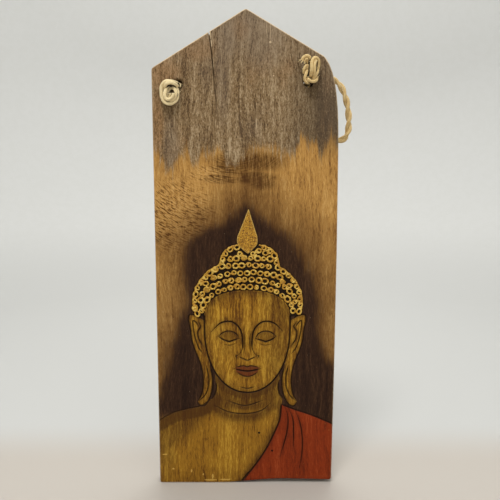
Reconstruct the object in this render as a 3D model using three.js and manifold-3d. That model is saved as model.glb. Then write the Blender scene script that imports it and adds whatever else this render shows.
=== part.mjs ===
// Wall hanging: a weathered plank with a pointed top, a head carved and gilded on its front,
// and a twisted rope that runs behind it through two holes and is knotted in front.
// Millimetres, +Z up, front facing -Y. The back face lies on Y = 0, and the origin is on it,
// between the two rope holes and level with them, where the plank hangs.

import * as THREE from 'three';
import { mergeVertices } from 'three/addons/utils/BufferGeometryUtils.js';
import Module from 'manifold-3d';

const wasm = await Module();
wasm.setup();

// Plank. Heights are above the middle of its lower end, which isn't quite level, and x is from
// its centre line.
const PLANK_THICKNESS = 22;
const LOWER_END = { level: -2.8, rise: 5.6, from: -40, to: 50, fall: 1.4 };
const LEFT_FOOT = -117.5;
const LEFT_SHOULDER = [-118.4, 550.6];
const APEX = [1, 622.9];
const WORN_SHOULDER = { top: [100.5, 564.6], bends: [[117, 545], [119.2, 500]] };
const RIGHT_BOW = { top: [119.6, 450], bend: [120.9, 260], foot: 117.9 };
const CORNER_ROUND = 3;
const ARRIS = 0.8;
const HANG_HEIGHT = 532.4;

// Rope, its holes and its two front knots.
const ROPE_DIAMETER = 8.5;
const ROPE_SIDES = 10;
const ROPE_STEPS = 60;
const KNOT_DIAMETER = 7.6;
const KNOT_STEPS = 34;
const KNOT_SIDES = 8;
const HOLE_SIDES = 24;
const CLEARANCE = 0.3;

// Holes, wider in front than behind: each one's middle on either face, as (x, z).
const FRONT_DIAMETER = 13.5;
const BACK_DIAMETER = 10;
const LEFT_HOLE = { front: [-85.6, -2], back: [-84.7, -1.15] };
const RIGHT_HOLE = { front: [80.3, 1.1], back: [80.2, 2.2] };

// Drying split that runs down from the left slope: its line, and its width at the top.
const SPLIT_LINE = [[-46.4, 602], [-41.3, 560.2], [-39.5, 535.8], [-37.2, 511.1], [-34.8, 480.1]];
const SPLIT_WIDTH = 1.8;
const SPLIT_DEPTH = 12;

// Carved head: its axis, its hair and the laws of proportion of its face.
const AXIS = 2.5;
const CHIN = 126;
const HAIRLINE = 266;
const FACE_WIDTH = 114;
const HEAD_CAP = { aside: 0.5, width: 148, middle: 250, rise: 60, fullness: 2 };
const TOPKNOT = { aside: 2.8, width: 81, middle: 296, rise: 33, fullness: 2.6 };
const CURL_PITCH = 9;
const ROW_PITCH = 9.6;
const CURL_RADIUS = 4.1;
const CURL_HEIGHT = 1.7;
const CURL_SIDES = 8;
const CURL_LOWEST = 233;
const CURL_ROWS = 7;
const FLAME = { tip: 373, widest: 334, foot: 315, width: 27, lean: 1.8, height: 1.8, bevel: 0.7 };
const FINE_CUT = 0.9;
const BOLD_CUT = 1.3;
const CUT_STEP = 6;

const WOOD = new THREE.MeshStandardMaterial({ color: 0xa97e46, roughness: 0.75, metalness: 0 });
const FIBRE = new THREE.MeshStandardMaterial({ color: 0xbfa074, roughness: 0.9, metalness: 0 });

// Turns a closed three.js geometry into a solid that can be joined and cut.
function solidOf(geometry) {
  const bare = geometry.clone();
  bare.deleteAttribute('normal');
  bare.deleteAttribute('uv');
  const merged = mergeVertices(bare, 1e-4);
  return new wasm.Manifold(new wasm.Mesh({
    numProp: 3,
    vertProperties: Float32Array.from(merged.attributes.position.array),
    triVerts: Uint32Array.from(merged.index.array),
  }));
}

function geometryOf(solid) {
  const { vertProperties, triVerts } = solid.getMesh();
  const geometry = new THREE.BufferGeometry();
  geometry.setAttribute('position', new THREE.BufferAttribute(vertProperties, 3));
  geometry.setIndex(new THREE.BufferAttribute(triVerts, 1));
  geometry.computeVertexNormals();
  return geometry;
}

// Extrudes an outline drawn as (x, height) from the plane Y = back towards the front.
function slab(shape, back, depth, options = {}) {
  const geometry = new THREE.ExtrudeGeometry(shape, { depth, bevelEnabled: false, ...options });
  geometry.rotateX(Math.PI / 2);
  geometry.translate(0, back, 0);
  return geometry;
}

function polygon(sides, radius, turn = 0) {
  const corners = Array.from({ length: sides }, (_, i) => {
    const angle = turn + (2 * Math.PI * i) / sides;
    return new THREE.Vector2(radius * Math.cos(angle), radius * Math.sin(angle));
  });
  return new THREE.Shape(corners);
}

// Leads an outline towards a corner and round it to the next side.
function roundCorner(outline, before, corner, after) {
  const [start, end] = [before, after].map((point) => {
    const side = new THREE.Vector2(point[0] - corner[0], point[1] - corner[1]);
    return side.setLength(CORNER_ROUND).add(new THREE.Vector2(...corner));
  });
  outline.lineTo(start.x, start.y);
  outline.quadraticCurveTo(...corner, end.x, end.y);
}

// Plank outline: two slopes to the apex, the right shoulder worn round, an uneven lower end.
function plankOutline() {
  const { level, rise, from, to, fall } = LOWER_END;
  const leftFoot = [LEFT_FOOT, level];
  const rightFoot = [RIGHT_BOW.foot, level + rise - fall];
  const [bend, lowBend] = WORN_SHOULDER.bends;
  const outline = new THREE.Shape();
  outline.moveTo(from, level);
  outline.bezierCurveTo((from + to) / 2, level, (from + to) / 2, level + rise, to, level + rise);
  roundCorner(outline, [to, level + rise], rightFoot, RIGHT_BOW.bend);
  outline.quadraticCurveTo(...RIGHT_BOW.bend, ...RIGHT_BOW.top);
  outline.bezierCurveTo(...lowBend, ...bend, ...WORN_SHOULDER.top);
  roundCorner(outline, WORN_SHOULDER.top, APEX, LEFT_SHOULDER);
  roundCorner(outline, APEX, LEFT_SHOULDER, leftFoot);
  roundCorner(outline, LEFT_SHOULDER, leftFoot, [from, level]);
  return outline;
}

function plankBlank() {
  return solidOf(slab(plankOutline(), -ARRIS, PLANK_THICKNESS - 2 * ARRIS, {
    bevelEnabled: true,
    bevelThickness: ARRIS,
    bevelSize: ARRIS,
    bevelOffset: -ARRIS,
    bevelSegments: 1,
    curveSegments: 5,
  }));
}

// Tapered drill that leans from the hole's middle in front to its middle behind.
function holeCutter({ front, back }) {
  const length = PLANK_THICKNESS + 2;
  const drill = new THREE.CylinderGeometry(BACK_DIAMETER / 2, FRONT_DIAMETER / 2, length, HOLE_SIDES);
  const [leanX, leanZ] = [0, 1].map((i) => (back[i] - front[i]) / PLANK_THICKNESS);
  drill.applyMatrix4(new THREE.Matrix4().set(1, leanX, 0, 0, 0, 1, 0, 0, 0, leanZ, 1, 0, 0, 0, 0, 1));
  const [x, z] = [0, 1].map((i) => (front[i] + back[i]) / 2);
  drill.translate(x, -PLANK_THICKNESS / 2, z + HANG_HEIGHT);
  return solidOf(drill);
}

// Wedge that tapers to nothing at the lower end of the split.
function splitCutter() {
  const last = SPLIT_LINE.length - 1;
  const side = (sign) => SPLIT_LINE.map(([x, height], i) => {
    const halfWidth = (SPLIT_WIDTH / 2) * (1 - i / last);
    return new THREE.Vector2(x + sign * halfWidth, height);
  });
  const wedge = new THREE.Shape([...side(-1), ...side(1).slice(0, last).reverse()]);
  return solidOf(slab(wedge, SPLIT_DEPTH - PLANK_THICKNESS, SPLIT_DEPTH + 1));
}

// Point of a rounded arch about the figure's axis: angle 0 is the right side, 90 degrees the top.
function archPoint(halfWidth, middle, rise, angle, fullness = 2.3) {
  const bend = (value) => Math.sign(value) * Math.abs(value) ** (2 / fullness);
  return [AXIS + halfWidth * bend(Math.cos(angle)), middle + rise * bend(Math.sin(angle))];
}

function inOval(x, height, { aside, width, middle, rise, fullness }, inset) {
  const across = Math.abs(x - AXIS - aside) / (width / 2 - inset);
  const up = Math.abs(height - middle) / (rise - inset);
  return across ** fullness + up ** fullness < 1;
}

// Unevenness of handwork: the same small offset for a curl each time.
function wobble(row, place) {
  const value = Math.sin(row * 12.9898 + place * 78.233) * 43758.5453;
  return value - Math.floor(value) - 0.5;
}

// Curls stand in rows parallel to the hairline, as far as the outline of hair and topknot.
function curlPlaces() {
  const places = [];
  const middle = HAIRLINE - 36;
  for (let row = 0; row < CURL_ROWS; row += 1) {
    const reach = ROW_PITCH * (row + 0.5);
    const arch = (angle) => archPoint(FACE_WIDTH / 2 + reach, middle, 36 + reach, angle);
    let [lastX, lastHeight] = arch(0);
    let walked = CURL_PITCH * (row % 2 ? 0.5 : 1);
    let place = 0;
    for (let angle = 0; angle < Math.PI; angle += 0.002) {
      const [x, height] = arch(angle);
      walked += Math.hypot(x - lastX, height - lastHeight);
      [lastX, lastHeight] = [x, height];
      if (walked < CURL_PITCH) continue;
      walked -= CURL_PITCH;
      place += 1;
      const inHair = inOval(x, height, HEAD_CAP, 3.5) || inOval(x, height, TOPKNOT, 3.5);
      const underFlame = Math.abs(x - AXIS) < 7 && height > FLAME.foot - 3;
      if (inHair && !underFlame && height > CURL_LOWEST) {
        places.push([x + 1.2 * wobble(row, place), height + 1.2 * wobble(place, row)]);
      }
    }
  }
  return places;
}

// A curl is a ring with a hollow middle, set a little into the wood.
function curl([x, height]) {
  const profile = [
    [0, 1],
    [CURL_RADIUS, 1],
    [CURL_RADIUS * 0.8, -CURL_HEIGHT],
    [CURL_RADIUS * 0.45, -CURL_HEIGHT],
    [0, -0.2 * CURL_HEIGHT],
  ].map(([radius, y]) => new THREE.Vector2(radius, y));
  const ring = new THREE.LatheGeometry(profile.reverse(), CURL_SIDES);
  ring.translate(x, -PLANK_THICKNESS, height);
  return solidOf(ring);
}

function flame() {
  const half = FLAME.width / 2;
  const drop = new THREE.Shape();
  const [tipX, footX] = [AXIS + FLAME.lean, AXIS + FLAME.lean / 2];
  drop.moveTo(tipX, FLAME.tip);
  drop.bezierCurveTo(tipX + 4, FLAME.tip - 14, AXIS + half, FLAME.widest + 13, AXIS + half, FLAME.widest);
  drop.bezierCurveTo(AXIS + half, FLAME.widest - 9, footX + 4, FLAME.foot + 2, footX, FLAME.foot);
  drop.bezierCurveTo(footX - 4, FLAME.foot + 2, AXIS - half, FLAME.widest - 9, AXIS - half, FLAME.widest);
  drop.bezierCurveTo(AXIS - half, FLAME.widest + 13, tipX - 4, FLAME.tip - 14, tipX, FLAME.tip);
  return solidOf(slab(drop, 1 - PLANK_THICKNESS, 1 + FLAME.height - FLAME.bevel, {
    bevelEnabled: true,
    bevelThickness: FLAME.bevel,
    bevelSize: FLAME.bevel,
    bevelOffset: -FLAME.bevel,
    bevelSegments: 1,
    curveSegments: 6,
  }));
}

// A carved line is the track of a diamond section half sunk in the front face.
function cut(points, size) {
  const track = points.map(([x, height]) => new THREE.Vector3(x, -PLANK_THICKNESS, height));
  const path = new THREE.CatmullRomCurve3(track, false, 'centripetal');
  const steps = Math.max(2, Math.round(path.getLength() / CUT_STEP));
  const section = polygon(4, size);
  return solidOf(new THREE.ExtrudeGeometry(section, { steps, bevelEnabled: false, extrudePath: path }));
}

// Lines drawn for the right side of the figure, as (distance from the axis, height).
function mirrored(points, size) {
  return [1, -1].map((side) => cut(points.map(([x, height]) => [AXIS + side * x, height]), size));
}

// Face by equal thirds from hairline to chin, and five eye widths across.
function faceCuts() {
  const third = (HAIRLINE - CHIN) / 3;
  const brow = HAIRLINE - third;
  const noseBase = brow - third;
  const eyeLine = brow - third / 3;
  const mouth = noseBase - third / 3;
  const eye = FACE_WIDTH / 5;
  const jawMiddle = eyeLine + 10;
  const jaw = Array.from({ length: 17 }, (_, i) => {
    return archPoint(FACE_WIDTH / 2, jawMiddle, CHIN - jawMiddle, (Math.PI * i) / 16, 2.1);
  });
  const temple = [AXIS + FACE_WIDTH / 2, CURL_LOWEST];
  const otherTemple = [AXIS - FACE_WIDTH / 2, CURL_LOWEST];
  return [
    cut([temple, ...jaw, otherTemple], BOLD_CUT),
    ...mirrored([[2.1 * eye, brow - 9], [1.5 * eye, brow + 3], [0.9 * eye, brow + 4],
      [0.42 * eye, brow - 6], [0.27 * eye, eyeLine - 8], [0.32 * eye, noseBase + 12],
      [0.52 * eye, noseBase + 5]], FINE_CUT),
    ...mirrored([[0.46 * eye, eyeLine - 3], [0.66 * eye, eyeLine + 3.5], [1.02 * eye, eyeLine + 7],
      [1.38 * eye, eyeLine + 5.5], [1.7 * eye, eyeLine]], FINE_CUT),
    ...mirrored([[0.46 * eye, eyeLine - 3], [0.74 * eye, eyeLine - 5], [1.06 * eye, eyeLine - 7],
      [1.38 * eye, eyeLine - 5], [1.7 * eye, eyeLine]], FINE_CUT),
    cut([[AXIS - 0.5 * eye, noseBase + 3], [AXIS - 0.22 * eye, noseBase], [AXIS, noseBase - 2],
      [AXIS + 0.22 * eye, noseBase], [AXIS + 0.5 * eye, noseBase + 3]], FINE_CUT),
    cut([[AXIS - 0.8 * eye, mouth + 2], [AXIS - 0.35 * eye, mouth - 0.5], [AXIS, mouth - 1.5],
      [AXIS + 0.35 * eye, mouth - 0.5], [AXIS + 0.8 * eye, mouth + 2]], FINE_CUT),
    cut([[AXIS - 0.7 * eye, mouth + 3.5], [AXIS - 0.2 * eye, mouth + 6], [AXIS, mouth + 4.5],
      [AXIS + 0.2 * eye, mouth + 6], [AXIS + 0.7 * eye, mouth + 3.5]], FINE_CUT),
    cut([[AXIS - 0.55 * eye, mouth - 4], [AXIS, mouth - 9], [AXIS + 0.55 * eye, mouth - 4]], FINE_CUT),
    cut([[AXIS - 0.45 * eye, CHIN + 8], [AXIS, CHIN + 5.5], [AXIS + 0.45 * eye, CHIN + 8]], FINE_CUT),
  ];
}

function earCuts() {
  return [
    ...mirrored([[60, 227], [68, 232], [76.5, 233], [78, 226], [75.5, 213], [74, 199], [70, 185],
      [65, 172], [61.5, 161], [59.5, 148], [59.5, 135], [61.5, 124], [67, 113]], FINE_CUT),
    ...mirrored([[50, 162], [47, 148], [47, 133], [50.5, 119], [57, 108.5], [63, 107], [67, 113]], FINE_CUT),
    ...mirrored([[64, 215], [68.5, 223], [72, 225], [71.5, 212], [68, 196], [64, 186], [59, 180]], FINE_CUT),
  ];
}

function neckCuts() {
  return [
    ...mirrored([[43, 143], [41.5, 134], [43.5, 124], [47.5, 117]], FINE_CUT),
    cut([[-26, 115], [-1, 107.5], [24, 115]], FINE_CUT),
    cut([[-41.5, 107.5], [-22.5, 98.5], [0.5, 96], [22.5, 101], [34.5, 111.5]], FINE_CUT),
  ];
}

function robeCuts() {
  return [
    cut([[-47, 116], [-60, 107.5], [-82, 102], [-99, 97], [-121, 84.3]], BOLD_CUT),
    cut([[48.5, 109], [64.5, 102.5], [88, 94.5], [122.5, 79.5]], BOLD_CUT),
    cut([[48.5, 109], [46.5, 88], [41, 73], [30.5, 50], [16.5, 27], [-9, -6.2]], BOLD_CUT),
    cut([[53.5, 106], [57.5, 93], [57, 73], [52.5, 53.5], [47, 34]], FINE_CUT),
    cut([[58, 105], [64.5, 88], [65.5, 66.5], [65, 43.5]], FINE_CUT),
    cut([[67.5, 101], [74.5, 81.5], [77.5, 60], [77, 37], [74, 18.5]], FINE_CUT),
  ];
}

function plank() {
  const cutters = [
    holeCutter(LEFT_HOLE),
    holeCutter(RIGHT_HOLE),
    splitCutter(),
    ...faceCuts(),
    ...earCuts(),
    ...neckCuts(),
    ...robeCuts(),
  ];
  let solid = cutters.reduce((body, cutter) => body.subtract(cutter), plankBlank());
  solid = curlPlaces().reduce((body, place) => body.add(curl(place)), solid);
  return solid.add(flame());
}

// Rope behind the plank, from the left hole's front to the right hole's: slack, it sags across
// the back, loops out past the right edge and comes back in to its hole.
const ROPE_ROUTE = [
  [-85.2, -22, -3.2], [-85.2, -13, -3], [-84.9, -4, -1.8], [-84.4, 3.6, 0], [-81.6, 9.6, 1],
  [-76, 13.2, -2.8], [-66.5, 13.6, -12], [-51, 11, -25.5], [-29, 8.5, -39.5], [-4, 7.5, -50.5],
  [22, 7.5, -57.5], [50, 8, -61.8], [76, 9, -63.5], [98, 10.5, -64.8], [114, 12.4, -67.4],
  [126, 13.4, -68.6], [133.8, 13.8, -65.2], [137.8, 14, -55.6], [138.6, 14.2, -44.6],
  [138, 14.5, -34.4], [136.6, 14.8, -24], [134.2, 15, -13.6], [130.4, 15.4, -3.2],
  [124.8, 15.6, 5.6], [116.5, 15.6, 11], [106.5, 15.4, 12.6], [96.5, 14.6, 10.4],
  [88.4, 12.2, 6.2], [82.8, 8, 3.2], [80.4, 2.6, 2.3], [80, -4, 2.3], [80.4, -13, 2.7],
  [80.6, -22, 2.8],
];

// Knots: each end comes forward out of its hole and is turned on itself. Points are
// (x, distance in front of the plank, z) from the middle of the knot.
const LEFT_KNOT_MIDDLE = [-94.5, -13.1];
const LEFT_KNOT_ROUTE = [
  [9.3, 0, 9.9], [9.2, 4.6, 10.2], [6.4, 8.4, 11.4], [1.6, 10.8, 12.2], [-3.8, 10.6, 11.4],
  [-7.8, 8.8, 7.2], [-8.9, 7.2, 1.2], [-8.8, 6.6, -5], [-6, 7, -10.4], [-0.2, 7.6, -12.3],
  [5.6, 7.4, -10], [8.7, 7, -4.2], [8.6, 6.8, 1.8], [6, 5.6, 6.2], [2, 3.9, 7.2],
  [-1.8, 5.6, 5], [-3.9, 8.4, 0.4], [-4.8, 9.2, -4.4], [-3.2, 8.8, -7.4], [0.4, 9.8, -6.8],
  [2.8, 11, -4.2], [3, 11.2, -1.6],
];
const RIGHT_KNOT_MIDDLE = [82, 13.6];
const RIGHT_KNOT_ROUTE = [
  [-1.4, 0, -10.8], [-1.2, 4, -6], [-2.4, 4.8, 1.2], [-4.8, 5.8, 5.6], [-6.4, 6.6, 0.6],
  [-6.6, 7.2, -6], [-4.9, 8.2, -12], [-0.4, 9.2, -14], [4.6, 8.6, -11.8], [7, 7.4, -6],
  [6.8, 6.6, 0.6], [7.8, 7.4, 6.4], [7.2, 9.2, 11.4], [4.6, 11.6, 12.6], [2.4, 13, 8.4],
  [2.2, 13, 1.6], [2.2, 11.4, -4], [1.4, 7.8, -8], [-0.2, 4.8, -7.6], [-1.6, 4.4, -2],
  [-2.4, 4.8, 4.6], [-2, 6.6, 10.6], [-3.2, 8.4, 14.4], [-5.8, 8.8, 15.4], [-8.2, 8.2, 13.6],
  [-9.4, 7.6, 11.4],
];

function sweep(route, diameter, steps, sides) {
  const path = new THREE.CatmullRomCurve3(route.map((point) => new THREE.Vector3(...point)));
  const section = polygon(sides, diameter / 2, Math.PI / sides);
  return new THREE.ExtrudeGeometry(section, { steps, bevelEnabled: false, extrudePath: path });
}

// The turns of a knot press into each other and are one solid, trimmed flat on the plank.
function knot([x, z], route) {
  const turns = route.map(([dx, front, dz]) => [x + dx, -PLANK_THICKNESS - front, z + dz]);
  const body = solidOf(sweep(turns, KNOT_DIAMETER, KNOT_STEPS, KNOT_SIDES));
  const behind = new THREE.BoxGeometry(60, 20, 60);
  behind.translate(x, 10 - PLANK_THICKNESS - CLEARANCE, z);
  return geometryOf(body.subtract(solidOf(behind)));
}

const hanging = new THREE.Group();

function addPiece(name, geometry, material) {
  const piece = new THREE.Mesh(geometry, material.clone());
  piece.name = name;
  hanging.add(piece);
  return piece;
}

addPiece('board', geometryOf(plank()), WOOD).position.z = -HANG_HEIGHT;
addPiece('rope', sweep(ROPE_ROUTE, ROPE_DIAMETER, ROPE_STEPS, ROPE_SIDES), FIBRE);
addPiece('knot_left', knot(LEFT_KNOT_MIDDLE, LEFT_KNOT_ROUTE), FIBRE);
addPiece('knot_right', knot(RIGHT_KNOT_MIDDLE, RIGHT_KNOT_ROUTE), FIBRE);

export default hanging;
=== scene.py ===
"""A weathered plank with a carved, gilded and painted head, hung by a knotted plant-fibre rope."""

import logging
import math
from contextlib import contextmanager
from dataclasses import dataclass
from enum import Enum
from typing import Callable, Iterator, Sequence

import bmesh
import bpy
import numpy as np
from mathutils import Matrix, Vector


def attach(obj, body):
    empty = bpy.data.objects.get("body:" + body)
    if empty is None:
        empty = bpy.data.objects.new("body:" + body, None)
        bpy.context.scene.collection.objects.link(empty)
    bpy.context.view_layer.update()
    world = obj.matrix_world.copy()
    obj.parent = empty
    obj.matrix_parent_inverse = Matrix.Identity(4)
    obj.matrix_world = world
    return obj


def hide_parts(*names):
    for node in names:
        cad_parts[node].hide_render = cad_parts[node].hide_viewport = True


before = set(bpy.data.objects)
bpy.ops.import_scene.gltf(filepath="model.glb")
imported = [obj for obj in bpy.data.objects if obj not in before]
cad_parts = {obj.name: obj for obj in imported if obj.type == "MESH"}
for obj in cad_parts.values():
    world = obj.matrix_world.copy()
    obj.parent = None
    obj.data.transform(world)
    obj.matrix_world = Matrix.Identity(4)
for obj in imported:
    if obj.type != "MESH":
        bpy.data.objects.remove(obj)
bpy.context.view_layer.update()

log = logging.getLogger("wall_hanging")

# Sizes are in millimetres, and MM turns them into the frame's metres. Heights on the drawing start
# near the plank's lower end. HANG_HEIGHT is that of the rope's holes, where the frame's z starts.
# The plank's back lies at y = 0 and its front face at y = FRONT.
MM = 0.001
HANG_HEIGHT = 532.4
FRONT = -22.0

Piece = bpy.types.Object
Socket = bpy.types.NodeSocket
Line = Sequence[Sequence[float]]
Point = tuple[float, float, float]
Colour = tuple[float, float, float]


def srgb(colour: Colour) -> tuple[float, ...]:
    """Turns a colour into the linear one that a shader takes.

    Args:
        colour: Red, green and blue of 0 to 255.

    Returns:
        Linear red, green and blue, and an alpha of 1.
    """
    values = []
    for part in colour:
        share = part / 255
        values.append(share / 12.92 if share <= 0.04045 else ((share + 0.055) / 1.055) ** 2.4)
    return (*values, 1.0)


def smooth_line(points: Line, spacing: float) -> np.ndarray:
    """Runs a centripetal Catmull-Rom curve through points.

    Args:
        points: What the curve passes, in two or three dimensions.
        spacing: About how far apart its points are.

    Returns:
        The curve's points, one a row.
    """
    knots = np.asarray(points, float)
    knots = np.vstack([2 * knots[0] - knots[1], knots, 2 * knots[-1] - knots[-2]])
    pieces = []
    for a, b, c, d in zip(knots[:-3], knots[1:-2], knots[2:-1], knots[3:]):
        before, here, after = (max(np.linalg.norm(leg) ** 0.5, 1e-4) for leg in (b - a, c - b, d - c))
        out = ((b - a) / before - (c - a) / (before + here) + (c - b) / here) * here
        into = ((c - b) / here - (d - b) / (here + after) + (d - c) / after) * here
        steps = max(2, math.ceil(np.linalg.norm(c - b) / spacing))
        t = np.linspace(0, 1, steps, endpoint=False)[:, None]
        pieces.append(
            (2 * t**3 - 3 * t**2 + 1) * b
            + (t**3 - 2 * t**2 + t) * out
            + (3 * t**2 - 2 * t**3) * c
            + (t**3 - t**2) * into
        )
    return np.vstack([*pieces, knots[-2:-1]])


def distance_along(points: np.ndarray, line: np.ndarray) -> tuple[np.ndarray, np.ndarray, float]:
    """Measures points against a line of short legs.

    Args:
        points: The points to measure.
        line: The corners of the line.

    Returns:
        Each point's distance, how far along the line its nearest place is, and the line's length.
    """
    nearest = np.full(len(points), np.inf)
    along = np.zeros(len(points))
    walked = 0.0
    for start, end in zip(line[:-1], line[1:]):
        leg = end - start
        length = float(np.linalg.norm(leg))
        share = np.clip((points - start) @ leg / max(length * length, 1e-12), 0, 1)
        away = np.linalg.norm(points - start - share[:, None] * leg, axis=1)
        closer = away < nearest
        nearest[closer] = away[closer]
        along[closer] = walked + share[closer] * length
        walked += length
    return nearest, along, walked


def directions(line: np.ndarray) -> np.ndarray:
    """Gives the unit vector along a line at each of its points."""
    along = np.gradient(line, axis=0)
    return along / np.linalg.norm(along, axis=1)[:, None]


def round_about(points: np.ndarray, line: np.ndarray, reach: float) -> np.ndarray:
    """Gives the numbers of the points in the box round a line, widened by a reach."""
    low, high = line.min(0) - reach, line.max(0) + reach
    return np.flatnonzero(((points > low) & (points < high)).all(1))


def inside_distance(points: np.ndarray, outline: np.ndarray) -> np.ndarray:
    """Gives each point's distance from a closed outline, positive inside it.

    Args:
        points: The points to measure.
        outline: The outline's corners.

    Returns:
        The distances.
    """
    closed = np.vstack([outline, outline[:1]])
    away = distance_along(points, closed)[0]
    x, y = points[:, 0], points[:, 1]
    inside = np.zeros(len(points), bool)
    for (ax, ay), (bx, by) in zip(closed[:-1], closed[1:]):
        if ay == by:
            continue
        spans = (ay > y) != (by > y)
        inside ^= spans & (x < (bx - ax) * (y - ay) / (by - ay) + ax)
    return np.where(inside, away, -away)


def smoothstep(low: float, high: float, value: np.ndarray) -> np.ndarray:
    """Eases value from 0 at low to 1 at high."""
    share = np.clip((value - low) / (high - low), 0, 1)
    return share * share * (3 - 2 * share)


def uneven(x: np.ndarray, y: np.ndarray, seed: int) -> np.ndarray:
    """Smooth seeded noise of 0 to 1 over a plane, with one bump to a unit, repeating every 64 units.

    Args:
        x: The place along the plane, in bumps.
        y: The place up the plane, in bumps.
        seed: Which pattern it is.

    Returns:
        The noise at each place.
    """
    cells = 64
    table = np.random.default_rng(seed).random((cells, cells))
    column, row = np.floor(x).astype(int), np.floor(y).astype(int)
    across, up = smoothstep(0, 1, x - column), smoothstep(0, 1, y - row)
    here, beyond = column % cells, (column + 1) % cells
    lower, upper = (
        table[level % cells, here] * (1 - across) + table[level % cells, beyond] * across
        for level in (row, row + 1)
    )
    return lower * (1 - up) + upper * up


def choose(piece: Piece) -> None:
    """Selects one object alone and makes it the active one."""
    bpy.ops.object.select_all(action="DESELECT")
    piece.select_set(True)
    bpy.context.view_layer.objects.active = piece


@contextmanager
def editing(piece: Piece) -> Iterator[None]:
    """Opens a piece in edit mode, with all of it selected, and closes it again.

    Args:
        piece: The piece to edit.

    Yields:
        Nothing, while the piece is open.
    """
    choose(piece)
    bpy.context.tool_settings.mesh_select_mode = (False, False, True)
    bpy.ops.object.mode_set(mode="EDIT")
    bpy.ops.mesh.select_all(action="SELECT")
    yield
    bpy.ops.object.mode_set(mode="OBJECT")


def pick(piece: Piece, kind: str, wanted: Callable[[object], bool]) -> None:
    """Selects what passes a test on a piece that is being edited, and nothing else.

    Args:
        piece: The piece.
        kind: What is tested: verts, edges or faces.
        wanted: The test.
    """
    modes = [kind == mode for mode in ("verts", "edges", "faces")]
    bpy.ops.mesh.select_all(action="DESELECT")
    bpy.context.tool_settings.mesh_select_mode = modes
    for part in getattr(bmesh.from_edit_mesh(piece.data), kind):
        part.select_set(bool(wanted(part)))
    bmesh.update_edit_mesh(piece.data)


def turn_outward() -> None:
    """Turns every face of the piece that is being edited outwards."""
    bpy.ops.mesh.select_all(action="SELECT")
    bpy.ops.mesh.normals_make_consistent(inside=False)


def draw_out(piece: Piece, reach: float) -> None:
    """Draws a flat piece out along y, by a reach in millimetres, into a closed solid."""
    with editing(piece):
        bpy.ops.mesh.extrude_region_move(TRANSFORM_OT_translate={"value": (0, reach * MM, 0)})
        turn_outward()


def modify(piece: Piece, kind: str, **settings: object) -> None:
    """Adds a modifier with these settings to a piece and applies it.

    Args:
        piece: The piece.
        kind: The modifier's type.
        settings: Its settings, by their names.
    """
    choose(piece)
    modifier = piece.modifiers.new(kind.title(), kind)
    for name, value in settings.items():
        setattr(modifier, name, value)
    bpy.ops.object.modifier_apply(modifier=modifier.name)


def push(piece: Piece, direction: str, shares: np.ndarray, most: float) -> None:
    """Moves a piece's corners with a Displace modifier.

    Args:
        piece: The piece.
        direction: The modifier's direction, such as NORMAL or Y.
        shares: Each corner's share of the whole way.
        most: The whole way in millimetres.
    """
    group = piece.vertex_groups.new(name="shares")
    for index in np.flatnonzero(shares > 1e-4):
        group.add([int(index)], float(shares[index]), "REPLACE")
    modify(
        piece, "DISPLACE", direction=direction, mid_level=0, strength=most * MM, vertex_group=group.name
    )
    piece.vertex_groups.clear()


def vectors(parts: bpy.types.bpy_prop_collection, name: str) -> np.ndarray:
    """Reads the vector of that name from each vertex or face of a mesh, one a row."""
    flat = np.empty(3 * len(parts), np.float32)
    parts.foreach_get(name, flat)
    return flat.reshape(-1, 3).astype(float)


def corners(piece: Piece) -> np.ndarray:
    """Gives the piece's vertices in millimetres, one a row."""
    return vectors(piece.data.vertices, "co") / MM


def on_drawing(places: np.ndarray) -> np.ndarray:
    """Turns places in the frame into the drawing's x and height."""
    return np.column_stack([places[:, 0], places[:, 2] + HANG_HEIGHT])


def in_frame(x: float, y: float, height: float) -> Point:
    """Turns the drawing's x and height, at a depth y, into a place in the frame, in metres."""
    return (x * MM, y * MM, (height - HANG_HEIGHT) * MM)


def join(name: str, parts: Sequence[Piece]) -> Piece:
    """Joins parts into one object of that name, with its place in its mesh.

    Args:
        name: The object's name.
        parts: What is joined, one part or more.

    Returns:
        The joined object.
    """
    bpy.ops.object.select_all(action="DESELECT")
    for part in parts:
        part.select_set(True)
    bpy.context.view_layer.objects.active = parts[0]
    bpy.ops.object.transform_apply(location=True, rotation=True, scale=True)
    if len(parts) > 1:
        bpy.ops.object.join()
    whole = bpy.context.view_layer.objects.active
    whole.name = name
    whole.data.name = name
    return whole


def tubes(name: str, tracks: Sequence[np.ndarray], radius: float, roundness: int = 1) -> Piece:
    """Runs a round cord along each track and makes one mesh of them.

    Args:
        name: The object's name.
        tracks: Each cord's centre line in millimetres.
        radius: The cords' radius in millimetres.
        roundness: How finely the cords are rounded.

    Returns:
        The mesh object.
    """
    curve = bpy.data.curves.new(name, "CURVE")
    curve.dimensions = "3D"
    curve.bevel_depth = radius * MM
    curve.bevel_resolution = roundness
    curve.use_fill_caps = True
    for track in tracks:
        spline = curve.splines.new("POLY")
        spline.points.add(len(track) - 1)
        spline.points.foreach_set("co", np.column_stack([track * MM, np.ones(len(track))]).ravel())
    holder = bpy.data.objects.new(name, curve)
    bpy.context.scene.collection.objects.link(holder)
    choose(holder)
    bpy.ops.object.convert(target="MESH")
    return join(name, [bpy.context.view_layer.objects.active])


def write_fields(piece: Piece, **fields: object) -> None:
    """Writes numbers on a piece's vertices, by their names, for its finish to read.

    Args:
        piece: The piece.
        fields: For each name, one number for all vertices or one for each.
    """
    for name, values in fields.items():
        layer = piece.data.attributes.new(name, "FLOAT", "POINT")
        layer.data.foreach_set("value", np.full(len(piece.data.vertices), values, np.float32))


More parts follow.
